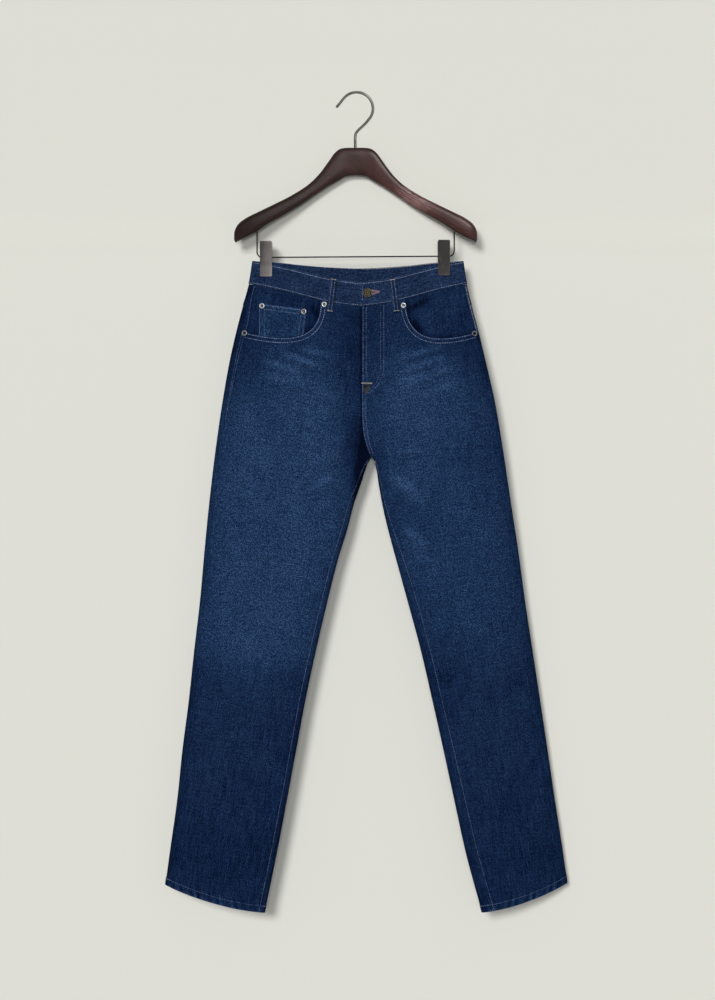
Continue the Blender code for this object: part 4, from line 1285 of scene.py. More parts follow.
class Finishes:
    """Every material of the model, made once."""

    def __init__(self) -> None:
        """Makes them."""
        self.denim = Denim().make()
        self.greyed = Denim("denim_indigo_twill_greyed", GREYED_TONES).make()
        self.reverse = DenimReverse().make()
        self.band_thread = Thread("thread_polyester_lavender_blue", "#b3bbd6", "#6d7a9c").make()
        self.blue_thread = Thread("thread_polyester_grey_blue", "#9ba7c4", "#56668a").make()
        self.worn_thread = Thread("thread_polyester_worn_blue", "#8290b0", "#44547a").make()
        self.plum_thread = Thread("thread_polyester_faded_plum", "#80707a", "#4a4860").make()
        self.pale_thread = Thread("thread_polyester_natural", "#bab6ae", "#8d8a84").make()
        self.charcoal_thread = Thread("thread_polyester_charcoal", "#43464a", "#1c1f22").make()
        self.rose_thread = Thread("thread_polyester_faded_rose", "#a98d8d", "#7f666a").make()
        # Nickel over stamped copper: a clean bright rim round a dark, dull hollow.
        self.rivet = Metal("nickel_plated_copper_stamped", "#eef1f4", "#2a2d31", 0.42, 0.6).make()
        # Cast zinc in antique bronze: brown-black, its raised rings rubbed to dull gold.
        self.button = Metal("zinc_antique_bronze_cast", "#77705f", "#161610", 0.45, 0.6).make()
        # Drawn wire under nickel: a soft grey shine along its length.
        self.hook = Metal("steel_wire_nickel_drawn", "#a0a096", "#4e4e46", 0.3, 0.45).make()
        # Blackened drawn wire: nearly black, with one thin highlight.
        self.bar = Metal("steel_wire_blackened_drawn", "#2e2c2b", "#100f0f", 0.3, 0.4).make()
        # Sheet pressed and plated in gunmetal: half matt, with broad warm grey clouds; the plates also
        # bring painted shade through their patina attribute.
        broad = Grain((14.0, 14.0, 30.0), 4.0, 0.6)
        pressed = Metal("steel_gunmetal_plated_pressed", "#b8b1b0", "#565453", 0.58, 0.62, broad)
        self.clip = pressed.make()
        self.wood = StainedWood().make()


# ---------------------------------------------------------------- meshes
def place_piece(made: Object, nodes: tuple[str, ...] = ()) -> None:
    """Puts a piece into the model: it rides on the one body and stands for its nodes.

    Args:
        made: the piece.
        nodes: the solids that it stands for.
    """
    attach(made, ROOT)
    if nodes:
        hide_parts(*nodes)


def linked(name: str, data: bpy.types.ID) -> Object:
    """Makes an object of a mesh, a light or a camera and links it to the scene.

    Args:
        name: its name.
        data: what it shows.

    Returns:
        The object.
    """
    made = bpy.data.objects.new(name, data)
    bpy.context.scene.collection.objects.link(made)
    return made


def mesh_piece(
    name: str,
    points: Array,
    faces: list,
    materials: list,
    attributes: dict[str, Array],
    sharp: float = 50.0,
) -> Object:
    """Makes an object.

    Args:
        name: its name.
        points: its points in mm.
        faces: its faces as lists of point numbers.
        materials: its materials; a face takes the first unless it is changed later.
        attributes: numbers or places for each point, by name.
        sharp: edges that turn more than this many degrees stay sharp.

    Returns:
        The object, linked to the scene.
    """
    mesh = bpy.data.meshes.new(name)
    mesh.from_pydata((np.asarray(points) * MM).tolist(), [], faces)
    for key, values in attributes.items():
        values = np.asarray(values, np.float32)
        kind = "FLOAT_VECTOR" if values.ndim == 2 else "FLOAT"
        layer = mesh.attributes.new(key, kind, "POINT")
        layer.data.foreach_set("vector" if values.ndim == 2 else "value", values.ravel())
    for material in materials:
        mesh.materials.append(material)
    mesh.shade_smooth()
    mesh.set_sharp_from_angle(angle=math.radians(sharp))
    return linked(name, mesh)


def quads_of(rows: int, columns: int) -> Array:
    """The quads of a grid of points, by number.

    Args:
        rows: how many rows of points.
        columns: how many columns of points.

    Returns:
        Four point numbers for each quad.
    """
    index = np.arange(rows * columns).reshape(rows, columns)
    corners = (index[:-1, :-1], index[:-1, 1:], index[1:, 1:], index[1:, :-1])
    return np.stack(corners, -1).reshape(-1, 4)


def shell_faces(rows: int, columns: int) -> Array:
    """The quads of a thin shell: those of its outer grid, of its inner grid, whose points
    follow the outer one's, and of the rim between them.

    Args:
        rows: how many rows of points.
        columns: how many columns of points.

    Returns:
        Four point numbers for each quad.
    """
    count = rows * columns
    index = np.arange(count).reshape(rows, columns)
    rim = np.concatenate([index[0, :], index[1:, -1], index[-1, -2::-1], index[-2:0:-1, 0]])
    following = np.roll(rim, -1)
    edge = np.stack([rim, rim + count, following + count, following], -1)
    face = quads_of(rows, columns)
    return np.concatenate([face, face[:, ::-1] + count, edge])


def tube_faces(rings: int, around: int) -> list:
    """The faces of a tube of rings, with a cap at each end.

    Args:
        rings: how many rings.
        around: how many points each has.

    Returns:
        The faces as lists of point numbers.
    """
    faces = []
    for j in range(rings - 1):
        for i in range(around):
            k = (i + 1) % around
            low, high = j * around, (j + 1) * around
            faces.append([low + i, high + i, high + k, low + k])
    last = rings * around - 1
    return faces + [list(range(around)), list(range(last, last - around, -1))]


def unit(vectors: Array) -> Array:
    """Vectors brought to a length of one."""
    return vectors / np.linalg.norm(vectors, axis=-1, keepdims=True)


class Line(NamedTuple):
    """A line on the cloth: points and the cloth's normals, mm."""

    points: Array
    normals: Array

    def length(self) -> float:
        """The line's length."""
        return arc_lengths(self.points, 0)[-1]

    def at(self, places: Array) -> tuple[Array, Array]:
        """The points and the normals at lengths along the line.

        Args:
            places: lengths from its start, mm.

        Returns:
            The points and the normals.
        """
        along = arc_lengths(self.points, 0)
        read = [[np.interp(places, along, part[:, k]) for k in range(3)] for part in self]
        return np.stack(read[0], axis=-1), np.stack(read[1], axis=-1)


@dataclass(frozen=True)
class Edge:
    """How a border of a piece is sewn: how far the layers under it lift it and how wide they are, how
    much it puckers, and how much lighter its edge and its ridges have worn. A lapped border also gets a
    line of painted shade along the step where its layers end."""

    lap: float = 0.0
    lap_width: float = 10.0
    pucker: float = 0.25
    reach: float = 8.0
    worn: float = 0.10
    ridge: float = 0.14
    seed: int = 1

    def ripple(self, distance: Array, along: Array) -> Array:
        """The uneven little waves that the stitching draws up, from 0 to 1.

        Args:
            distance: how far each point lies from the border, mm.
            along: how far along the border it lies, mm.

        Returns:
            A share for each point.
        """
        slanted = along + 0.5 * distance
        wave = np.sin(2 * math.pi * slanted / 15.7 + self.seed)
        wave = wave + 0.7 * np.sin(2 * math.pi * slanted / 10.9 + 2.3 * self.seed)
        wave = wave * (0.7 + 0.6 * drift(along, distance * 0, 37.0, self.seed))
        return np.clip(0.5 + 0.3 * wave, 0, 1) * np.exp(-((distance / self.reach) ** 2))

    def relief(self, distance: Array, along: Array) -> Array:
        """How far the border's sewing lifts the cloth."""
        lift = self.lap * ease((self.lap_width - distance) / 1.6)
        return lift + self.pucker * self.ripple(distance, along)

    def fading(self, distance: Array, along: Array) -> Array:
        """How much lighter the dye is along the border, less a line of painted shade along a lapped
        border's step.

        Args:
            distance: how far each point lies from the border, mm.
            along: how far along the border it lies, mm.

        Returns:
            What to add to the fade at each point.
        """
        edge = self.worn * np.exp(-distance / 1.3)
        evened = 0.4 * np.exp(-((distance / self.reach) ** 2))
        ridges = self.ridge * (self.ripple(distance, along) - evened)
        # Painted shade along the step where the layers under a lapped border end.
        step = np.exp(-(((distance - self.lap_width) / 1.5) ** 2)) if self.lap else 0.0
        return edge + ridges - 0.08 * step


@dataclass
class ClothPiece:
    """A cut piece of cloth: a thin shell over a grid of points on the skin."""

    name: str
    side: Side
    flat: tuple[float, float]
    slot: str = "denim"
    thickness: float = 1.2
    stand: float = 0.0
    wear: float = 0.0
    grain: float = 9.0
    borders: dict[Border, Edge] = field(default_factory=dict)
    outer: Array = field(default=None, repr=False)
    normals: Array = field(default=None, repr=False)
    away: dict = field(default_factory=dict, repr=False)
    down: Array = field(default=None, repr=False)
    across: Array = field(default=None, repr=False)

    def grid(self) -> Array:
        """The piece's points as rows and columns of (x, z, sheet)."""
        raise NotImplementedError

    def surface(self, grid: Array, out: float) -> Array:
        """The skin's points under the grid."""
        return SKIN.points(self.side, grid[..., 0], grid[..., 1], grid[..., 2], out)

    def raised(self, grid: Array) -> Array:
        """How far the piece's face stands off the skin, before its borders' own relief."""
        return np.full(grid.shape[:2], self.stand)

    def depth(self, grid: Array) -> Array:
        """The piece's thickness at each point."""
        return np.full(grid.shape[:2], self.thickness)

    def washed(self, grid: Array) -> Array:
        """How light the dye is, with the painted shade that the wash adds in crease troughs and beside
        the fork.
        """
        return wash_at(self.side, grid[..., 0], grid[..., 1], grid[..., 2]) + self.wear

    def in_cloth(self, grid: Array) -> Array:
        """Each point's place in the cloth: across the warp and along it, in mm.

        Args:
            grid: the points that grid gives.

        Returns:
            The places, mm.
        """
        x, z = grid[..., 0], grid[..., 1]
        middle = x.shape[1] // 2
        way = np.sign(x[:, middle + 1] - x[:, middle - 1])[:, None]
        flat_x = x[:, [middle]] + way * (self.across - self.across[:, [middle]])
        grain = math.radians(self.grain) * self.side
        return np.stack(
            [
                flat_x * math.cos(grain) + z * math.sin(grain),
                z * math.cos(grain) - flat_x * math.sin(grain),
            ],
            axis=-1,
        )

    def measure_borders(self, base: Array) -> None:
        """Finds how far every point lies from each border, and how far along it.

        Args:
            base: the points of the skin under the piece, mm.
        """
        self.down, self.across = arc_lengths(base, 0), arc_lengths(base, 1)
        lines = {
            Border.TOP: base[0],
            Border.FOOT: base[-1],
            Border.START: base[:, 0],
            Border.END: base[:, -1],
        }
        self.away = {border: nearest_on(base, line) for border, line in lines.items()}

    def build(self, face: Material, reverse: Material) -> Object:
        """Makes the shell.

        Args:
            face: the material of its face and rim.
            reverse: the material of its inner side.

        Returns:
            The object.
        """
        grid = self.grid()
        base = self.surface(grid, 0.0)
        self.normals = self.surface(grid, 1.0) - base
        self.measure_borders(base)
        raised, thick, fade = self.raised(grid), self.depth(grid), self.washed(grid)
        for border, edge in self.borders.items():
            raised = raised + edge.relief(*self.away[border])
            fade = fade + edge.fading(*self.away[border])
        nearest = np.minimum.reduce([self.away[b][0] for b in Border])
        turn = 0.42 * thick * (1 - np.clip(nearest / 0.9, 0, 1)) ** 2
        self.outer = base + self.normals * (raised - turn)[..., None]
        inner = base + self.normals * (raised - thick + turn)[..., None]
        rows, columns = grid.shape[:2]
        faces = shell_faces(rows, columns)
        points = np.concatenate([self.outer.reshape(-1, 3), inner.reshape(-1, 3)])
        cloth = np.concatenate([self.in_cloth(grid), np.zeros((rows, columns, 1))], axis=-1)
        cloth[..., 2] = sum(map(ord, self.name)) % 97 * 11.0
        attributes = {
            "cloth": np.tile(cloth.reshape(-1, 3) * MM, (2, 1)),
            "fade": np.tile(fade.ravel(), 2),
        }
        made = mesh_piece(self.name + "_cloth", points, faces.tolist(), [face, reverse], attributes)
        inside = np.zeros(len(faces), np.int32)
        quads = (rows - 1) * (columns - 1)
        inside[quads : 2 * quads] = 1
        made.data.polygons.foreach_set("material_index", inside)
        outward(made)
        self.declare(made)
        return made

    def declare(self, made: Object) -> None:
        """Puts the piece on the body in place of its solid, and logs its area, held within the size that
        it was cut to.

        Args:
            made: the object.
        """
        place_piece(made, (self.name,))
        corner = self.outer[:-1, :-1]
        sides = np.cross(self.outer[:-1, 1:] - corner, self.outer[1:, :-1] - corner)
        area = float(np.linalg.norm(sides, axis=-1).sum()) * MM**2
        width, length = self.flat
        area = min(max(area, 0.31 * width * length), width * length)
        log.info("%s: %d faces, %.4f square metres", made.name, len(made.data.polygons), area)

    def line(self, border: Border, inset: float, low: float = 0.0, high: float = 1e9) -> Line:
        """A line on the face along a border.

        Args:
            border: the border.
            inset: how far inside it the line runs, mm.
            low: where along the border it starts, mm.
            high: where it ends, mm.

        Returns:
            The line.
        """
        distance, along = self.away[border]
        if border in (Border.TOP, Border.FOOT):
            distance, along = distance.T, along.T
            points, normals = self.outer.transpose(1, 0, 2), self.normals.transpose(1, 0, 2)
        else:
            points, normals = self.outer, self.normals
        found = []
        for d, a, p, n in zip(distance, along, points, normals):
            order = slice(None) if d[0] <= d[-1] else slice(None, None, -1)
            d, a, p, n = np.maximum.accumulate(d[order]), a[order], p[order], n[order]
            if not low <= np.interp(inset, d, a) <= high:
                continue
            row = [np.interp(inset, d, values[:, k]) for values in (p, n) for k in range(3)]
            found.append(row)
        found = np.array(found)
        return Line(found[:, :3], found[:, 3:])


# ---------------------------------------------------------------- cloth pieces
BACK_COLUMNS = finer(
    [(2, EVEN), (5, NEAR_END), (5, NEAR_START), (3, EVEN), (3, EVEN), (4, EVEN)]
    + [(7, EVEN)] * 6
    + [(2, EVEN), (3, EVEN), (5, NEAR_END), (5, NEAR_START), (3, NEAR_END)]
)


def leg_places(first: float) -> Array:
    """Fractional places in the table of rows, from a first one to the hem, 3.6 mm apart.

    Args:
        first: the first place.

    Returns:
        The places, rising.
    """
    step = 3.6
    heights = np.array([row.side for row in ROWS])
    places = []
    for index in range(int(first), len(ROWS) - 1):
        count = max(1, math.ceil((heights[index] - heights[index + 1]) / step))
        places.append(index + np.arange(count) / count)
    hem = len(ROWS) - 2
    extra = [first + 0.01, first + 0.03, hem - 0.012, hem + 0.06, hem + 0.9, hem + 0.97, hem + 1.0]
    return np.unique(np.concatenate(places + [np.array(extra)]))


@dataclass
class LegPanel(ClothPiece):
    """A front or back panel, with the turned-up hem at its foot."""

    hem_raise: float = 0.5
    hem_wall: float = 3.0

    def hem(self) -> Array:
        """1 on the hem and 0 above it."""
        return ease((HEM_HEIGHT + 0.8 - self.away[Border.FOOT][0]) / 1.2)

    def raised(self, grid: Array) -> Array:
        """The hem's extra thickness on the face."""
        return self.hem_raise * self.hem()

    def depth(self, grid: Array) -> Array:
        """The hem's folded layers behind the face."""
        return self.thickness + (self.hem_wall - self.thickness) * self.hem()

    def notch_along(self) -> float:
        """How far down the end border the notch of the crotch lies, mm.

        Returns:
            The length, mm.
        """
        gaps = self.outer[:, -1][:, [0, 2]] - (NOTCH_X, NOTCH_Z)
        row = int(np.argmin(np.linalg.norm(gaps, axis=1)))
        return float(self.away[Border.END][1][row, -1])


@dataclass
class FrontPanel(LegPanel):
    """A front, whose top edge is the pocket's mouth and then the waist seam."""

    fly_raise: float = 0.8
    fly_end_z: float = -482.0
    fly_fade_z: float = -486.0
    fly_straight: float = 75.0
    fly_round: float = 55.0

    def top_edge(self, columns: Array) -> Array:
        """x and z of the top edge at fractional columns.

        Args:
            columns: fractional columns of the piece's grid.

        Returns:
            A place (x, z) for each column.
        """
        side = self.side
        t = np.concatenate([[1.0, 0.985], np.linspace(0.965, 0.0, 9)])
        corner = len(t) - 1
        edge = CUT.mouth(side, np.interp(columns, np.arange(corner + 1), t))
        first_x = CUT.outseam_x(side, edge[0, 1]) - side * CUT.seam_gap / 2
        second_x = first_x - side * 2.5
        shift = second_x - CUT.mouth(side, t[1])[0]
        near = columns <= 1
        edge[near, 0] = first_x - side * 2.5 * columns[near]
        soft = (columns >= 1) & (columns < 2)
        edge[soft, 0] += shift * (2 - columns[soft])
        straight = columns > corner
        knots_x = SKIN.centre_front_x + side * (
            CUT.seam_gap / 2 + np.array([CUT.fly_width + 18, CUT.fly_width + 1.5, CUT.fly_width, 13, 0])
        )
        knots = np.concatenate([[edge[columns <= corner][-1, 0]], knots_x])
        edge[straight, 0] = np.interp(columns[straight], corner + np.arange(6), knots)
        edge[straight, 1] = CUT.waist_z(side, edge[straight, 0]) - CUT.waist_gap
        return edge

    def grid(self) -> Array:
        """The panel's grid: blended below the mouth, then row by row down the leg."""
        columns = finer(
            [(5, NEAR_START), (2, EVEN), (3, EVEN)]
            + [(8, EVEN)] * 8
            + [(4, EVEN), (1, EVEN), (5, EVEN), (6, NEAR_END)]
        )
        columns = np.unique(np.concatenate([columns, np.arange(10.0, 11.0, 0.125)]))
        top = self.top_edge(columns)
        fixed = CUT.front_row(self.side, ROWS[SQUARE_ROW], columns)
        shares = np.concatenate([[0.0, 0.004, 0.012], np.linspace(0.03, 1, 34)[:-1]])
        rows = []
        for share in shares:
            row = fixed.copy()
            row[:, :2] = top * (1 - share) + fixed[:, :2] * share
            first_x = CUT.outseam_x(self.side, row[0, 1]) - self.side * CUT.seam_gap / 2
            near = columns < 1
            row[near, 0] = first_x + (np.interp(1, columns, row[:, 0]) - first_x) * columns[near]
            rows.append(row)
        rows += [CUT.front_row(self.side, row_at(p), columns) for p in leg_places(SQUARE_ROW)]
        return np.stack(rows)

    def fly_distance(self, grid: Array) -> Array:
        """How far inside the fly's J-shaped outline each point lies.

        Args:
            grid: the points that grid gives.

        Returns:
            The distances, mm; below 0 is outside.
        """
        along = grid[..., 0] - SKIN.centre_x(grid[..., 1], FRONT)
        down = WAIST.front - grid[..., 1]
        round_end = 1 - (np.maximum(down - self.fly_straight, 0) / self.fly_round) ** 2
        return CUT.fly_width * np.sqrt(np.clip(round_end, 0, 1)) - along

    def raised(self, grid: Array) -> Array:
        """The hem and, on the wearer's left, the fly's folded strip."""
        lift = super().raised(grid)
        if self.side == LEFT:
            inside = self.fly_distance(grid)
            above = grid[..., 1] > self.fly_end_z
            lift = lift + self.fly_raise * ease(inside / 1.4 + 0.5) * above
        return lift

    def washed(self, grid: Array) -> Array:
        """The wash, with a worn line along the fly's edge; on the right front, painted shadow along its
        edge of the centre seam down to the notch, where the left front laps over it; and on the left,
        below the fly, a rubbed strip beside the seam."""
        fade = super().washed(grid)
        away, above = self.away[Border.END][0], grid[..., 1] > self.fly_fade_z
        if self.side == LEFT:
            inside = self.fly_distance(grid)
            fade = fade + 0.06 * np.exp(-((inside / 1.8) ** 2)) * above
            fade = fade + 0.05 * (inside > 0) * above
            return fade + 0.10 * (away < 7.5) * ~above * (grid[..., 1] > NOTCH_Z)
        # Painted shadow in the seam's fold under the left front's lap.
        return fade - 0.45 * np.exp(-away / 2.2) * (grid[..., 1] > NOTCH_Z)


@dataclass
class BackPanel(LegPanel):
    """A back, which wraps round the side fold and the fold inside the leg."""

    def grid(self) -> Array:
        """The panel's grid from the yoke down."""
        places = leg_places(YOKE_ROW)
        return np.stack([CUT.back_row(self.side, row_at(p), BACK_COLUMNS) for p in places])


@dataclass
class Yoke(ClothPiece):
    """The shaped strip between the waistband and the back, deeper at the centre."""

    def grid(self) -> Array:
        """The yoke's grid."""
        shares = np.concatenate([[0, 0.008, 0.025], np.linspace(0.06, 0.94, 18), [0.975, 0.992, 1]])
        top = CUT.back_row(self.side, ROWS[0], BACK_COLUMNS)
        low = CUT.back_row(self.side, ROWS[YOKE_ROW], BACK_COLUMNS)
        top[:, 1] -= CUT.waist_gap
        low[:, 1] += CUT.seam_gap
        rows = []
        for share in shares:
            row = top * (1 - share) + low * share
            row[0, 0] = CUT.outseam_x(self.side, row[0, 1]) + self.side * CUT.seam_gap / 2
            rows.append(row)
        return np.stack(rows)


@dataclass
class Waistband(ClothPiece):
    """One strip sewn on round the top, its left end lapped over its right."""

    overlap_end_x: float = 7.3
    underlap_end_x: float = 30.0
    split: int = 0

    def half(self, side: Side, row: Row) -> tuple[list, Array]:
        """The path of one row of one half of the band, and its knots in mm along it.

        Args:
            side: the wearer's side.
            row: the row.

        Returns:
            The corners (x, sheet) of the path, and the knots.
        """
        fold_steps = np.array([74, 58, 46, 36, 26, 16, 8, 3, 1, 0.3, 0])
        fold_x = SKIN.outer_fold(side, row.side)
        if side == RIGHT:
            path = [(self.underlap_end_x, FRONT), (fold_x, BACK), (SKIN.centre_back_x, BACK)]
        else:
            path = [(SKIN.centre_back_x, BACK), (fold_x, FRONT), (self.overlap_end_x, FRONT)]
        fold, length = CUT.path_length(path[:2]), CUT.path_length(path)
        knots = [[0, 0.3, 0.9], np.linspace(0, fold - 92, 7)[1:], fold - fold_steps]
        knots += [(fold + fold_steps[::-1])[1:], [fold + 92, length - 0.9, length - 0.3, length]]
        return path, np.concatenate(knots)

    def relaid(self, side: Side, row: Row, path: list, places: Array) -> Array:
        """Points along the band; the hidden end follows the height of the end over it.

        Args:
            side: the wearer's side.
            row: the row.
            path: the row's corners as (x, sheet).
            places: lengths along the path, mm.

        Returns:
            The points (x, z, sheet).
        """
        laid = CUT.lay(side, row, path, places)
        if side == RIGHT:
            under = (laid[:, 0] > SKIN.centre_front_x) & (laid[:, 2] == FRONT)
            laid[under, 1] = CUT.row_z(row, LEFT, laid[under, 0], FRONT)
        return laid

    def grid(self) -> Array:
        """The band's grid, its right half and then its left."""
        shares = np.concatenate([[0, 0.01, 0.03], np.linspace(0.07, 0.93, 10), [0.97, 0.99, 1]])
        halves = []
        for side in (RIGHT, LEFT):
            _, knots = self.half(side, WAIST)
            gaps = [(max(1, math.ceil(gap / 3.4)), EVEN) for gap in np.diff(knots)]
            columns = finer(gaps)
            rows = []
            for share in shares[::-1]:
                row = Row(*(low + (high - low) * share for low, high in zip(WAIST, BAND_TOP)))
                path, knots = self.half(side, row)
                places = np.interp(columns, np.arange(len(knots)), knots)
                rows.append(self.relaid(side, row, path, places))
            halves.append(np.stack(rows))
        self.split = halves[0].shape[1]
        return np.concatenate([halves[0], halves[1][:, 1:]], axis=1)

    def surface(self, grid: Array, out: float) -> Array:
        """The skin under both halves."""
        halves = ((RIGHT, grid[:, : self.split]), (LEFT, grid[:, self.split :]))
        return np.concatenate(
            [SKIN.points(s, g[..., 0], g[..., 1], g[..., 2], out) for s, g in halves], axis=1
        )

    def raised(self, grid: Array) -> Array:
        """The band's own stand, and the left end's lift over the right end."""
        rise = ease((50.0 - grid[..., 0]) / 19.0)
        lap = np.where(grid[..., 2] == FRONT, (self.thickness + CUT.seam_gap) * rise, 0.0)
        lap[:, : self.split] = 0.0
        return self.stand + lap

    def in_cloth(self, grid: Array) -> Array:
        """The band is cut along the warp."""
        return np.stack([self.down, self.across], axis=-1)

    def washed(self, grid: Array) -> Array:
        """An even wash."""
        x, z = grid[..., 0], grid[..., 1]
        return self.wear + 0.40 + 0.06 * drift(x, z, 30.0, 3)


@dataclass
class Facing(ClothPiece):
    """The part of a pocket that shows in its mouth, and runs on under the front."""

    lap: float = 12.0

    def grid(self) -> Array:
        """The facing's grid between the waist seam, the outseam and its hidden edge."""
        side, turn, count = self.side, 0.52, 26
        inner = CUT.past_mouth(side, np.linspace(0, turn, count), self.lap)
        foot = CUT.past_mouth(side, np.linspace(1, turn, 40), self.lap)
        inner[0] = (inner[1, 0], CUT.waist_z(side, inner[1, 0]) - CUT.waist_gap)
        reach = 1.2 if side == RIGHT else -2.4
        corner_z = CUT.waist_z(side, CUT.outseam_x(side, WAIST.side)) - CUT.waist_gap
        start_z = np.linspace(corner_z, foot[0, 1], count)
        start = np.stack([CUT.outseam_x(side, start_z) + side * reach, start_z], axis=-1)
        foot[0] = start[-1]
        inner[-1] = foot[-1]
        top_x = np.linspace(start[0, 0], inner[0, 0], 40)
        top = np.stack([top_x, CUT.waist_z(side, top_x) - CUT.waist_gap], axis=-1)
        return on_sheet(patch(top, foot, start, inner), FRONT)

    def washed(self, grid: Array) -> Array:
        """Less washed than the outside, with a painted shadow under the mouth's edge, and painted shade
        and highlight along the soft folds.
        """
        x, z = grid[..., 0], grid[..., 1]
        edge = CUT.mouth(self.side, np.linspace(0, 1, 160))
        flat = np.stack([x, z, 0 * x], axis=-1)
        away, _ = nearest_on(flat, np.concatenate([edge, np.zeros((160, 1))], axis=1))
        fade = 0.345 + self.wear + 0.09 * drift(x, z, 24.0, 3) - 0.26 * np.exp(-away / 4.0)
        for crease in POCKET_FOLDS:
            if crease.side == self.side:
                fade = fade + crease.wear * SKIN.crease_profile(crease, x, z, 0.75)
        return fade


@dataclass
class CoinPocket(ClothPiece):
    """The small pocket on the wearer's right facing; its foot meets the mouth's edge."""

    def grid(self) -> Array:
        """The pocket's grid."""
        columns = np.linspace(0, 10, 90)
        edge = FrontPanel("edge", RIGHT, (1, 1)).top_edge(columns)
        foot_x = np.linspace(-161.5, -86.5, 34)
        foot_z = np.interp(foot_x, edge[:, 0], edge[:, 1]) + CUT.seam_gap + 0.2
        foot = np.stack([foot_x, foot_z], axis=-1)
        top = np.linspace((-161.0, -346.0), (-82.0, -357.5), len(foot))
        start = np.linspace(top[0], foot[0], 20)
        end = np.linspace(top[-1], foot[-1], 20)
        return on_sheet(patch(top, foot, start, end), FRONT)

    def washed(self, grid: Array) -> Array:
        """Washed like the facing under it."""
        x, z = grid[..., 0], grid[..., 1]
        return np.full(x.shape, 0.42 + self.wear) + 0.06 * drift(x, z, 22.0, 4)


@dataclass
class BackPocket(ClothPiece):
    """A five-sided patch pocket below the yoke."""

    width: float = 142.0
    foot_width: float = 122.0
    drop: float = 128.0
    point: float = 24.0

    def grid(self) -> Array:
        """The pocket's grid."""
        near = np.array([0, 0.006, 0.02])
        across = np.concatenate([near, np.linspace(0.045, 0.955, 37), 1 - near[::-1]]) * 2 - 1
        down = np.concatenate([near, np.linspace(0.04, 0.96, 34), 1 - near[::-1]])
        tilt = math.radians(3.0) * self.side
        v, u = np.meshgrid(down, across, indexing="ij")
        half = (self.width + (self.foot_width - self.width) * v) / 2
        depth = v * (self.drop + self.point * (1 - np.abs(u)))
        x = self.side * 101.0 + u * half * math.cos(tilt) + depth * math.sin(tilt)
        z = -424.0 + u * half * math.sin(tilt) - depth * math.cos(tilt)
        return on_sheet(np.stack([x, z], axis=-1), BACK)

    def washed(self, grid: Array) -> Array:
        """Rubbed lighter over the middle of the pocket."""
        top, foot = self.away[Border.TOP][0], self.away[Border.FOOT][0]
        sides = np.minimum(self.away[Border.START][0], self.away[Border.END][0])
        middle = ease(np.minimum(np.minimum(top, foot), sides) / 45.0)
        return super().washed(grid) + 0.06 * middle


@dataclass
class BeltLoop(ClothPiece):
    """A strip from the waistband's top edge to below its lower seam."""

    top: tuple[float, float] = (0.0, 0.0)
    foot: tuple[float, float] = (0.0, 0.0)
    sheet: Sheet = FRONT
    width: float = 9.8
    band_raise: float = 0.8
    lift: float = 0.6
    belt_gap: float = 2.2

    def grid(self) -> Array:
        """The loop's grid."""
        top, foot = np.array(self.top), np.array(self.foot)
        along = (foot - top) / np.linalg.norm(foot - top)
        across = np.array([along[1], -along[0]]) * self.width / 2
        even = np.linspace(0.04, 0.96, 32)
        self.shares = np.concatenate([[0, 0.006, 0.016], even, [0.984, 0.994, 1]])
        places = np.array([-1, -0.96, -0.88, -0.7, -0.5, -0.25, 0, 0.25, 0.5, 0.7, 0.88, 0.96, 1])
        middle = top * (1 - self.shares[:, None]) + foot * self.shares[:, None]
        return on_sheet(middle[:, None] + across * places[None, :, None], self.sheet)

    def raised(self, grid: Array) -> Array:
        """The loop's arch over the belt's way, and its ends on the cloth."""
        knots = [0.0, 0.07, 0.22, 0.6, 0.76, 0.88, 1.0]
        arch = np.interp(self.shares, knots, [0, 0, 1, 1, 0.12, 0, 0])
        foot = self.band_raise * (1 - ease((self.shares - 0.76) / 0.06))
        height = foot + self.lift + self.belt_gap * ease(arch)
        return np.repeat(height[:, None], grid.shape[1], 1) + self.thickness

    def washed(self, grid: Array) -> Array:
        """An even wash with a slight mottle; its rolled edges wear lighter through their borders."""
        x, z = grid[..., 0], grid[..., 1]
        return 0.38 + self.wear + 0.05 * drift(x, z, 9.0, 6)


# ---------------------------------------------------------------- sewing
@dataclass(frozen=True)
class Gauge:
    """One stitch: its length on the cloth, the gap to the next, the thread's width and how
    far it stands up in the middle."""

    length: float = 3.1
    gap: float = 0.8
    width: float = 1.0
    rise: float = 0.24


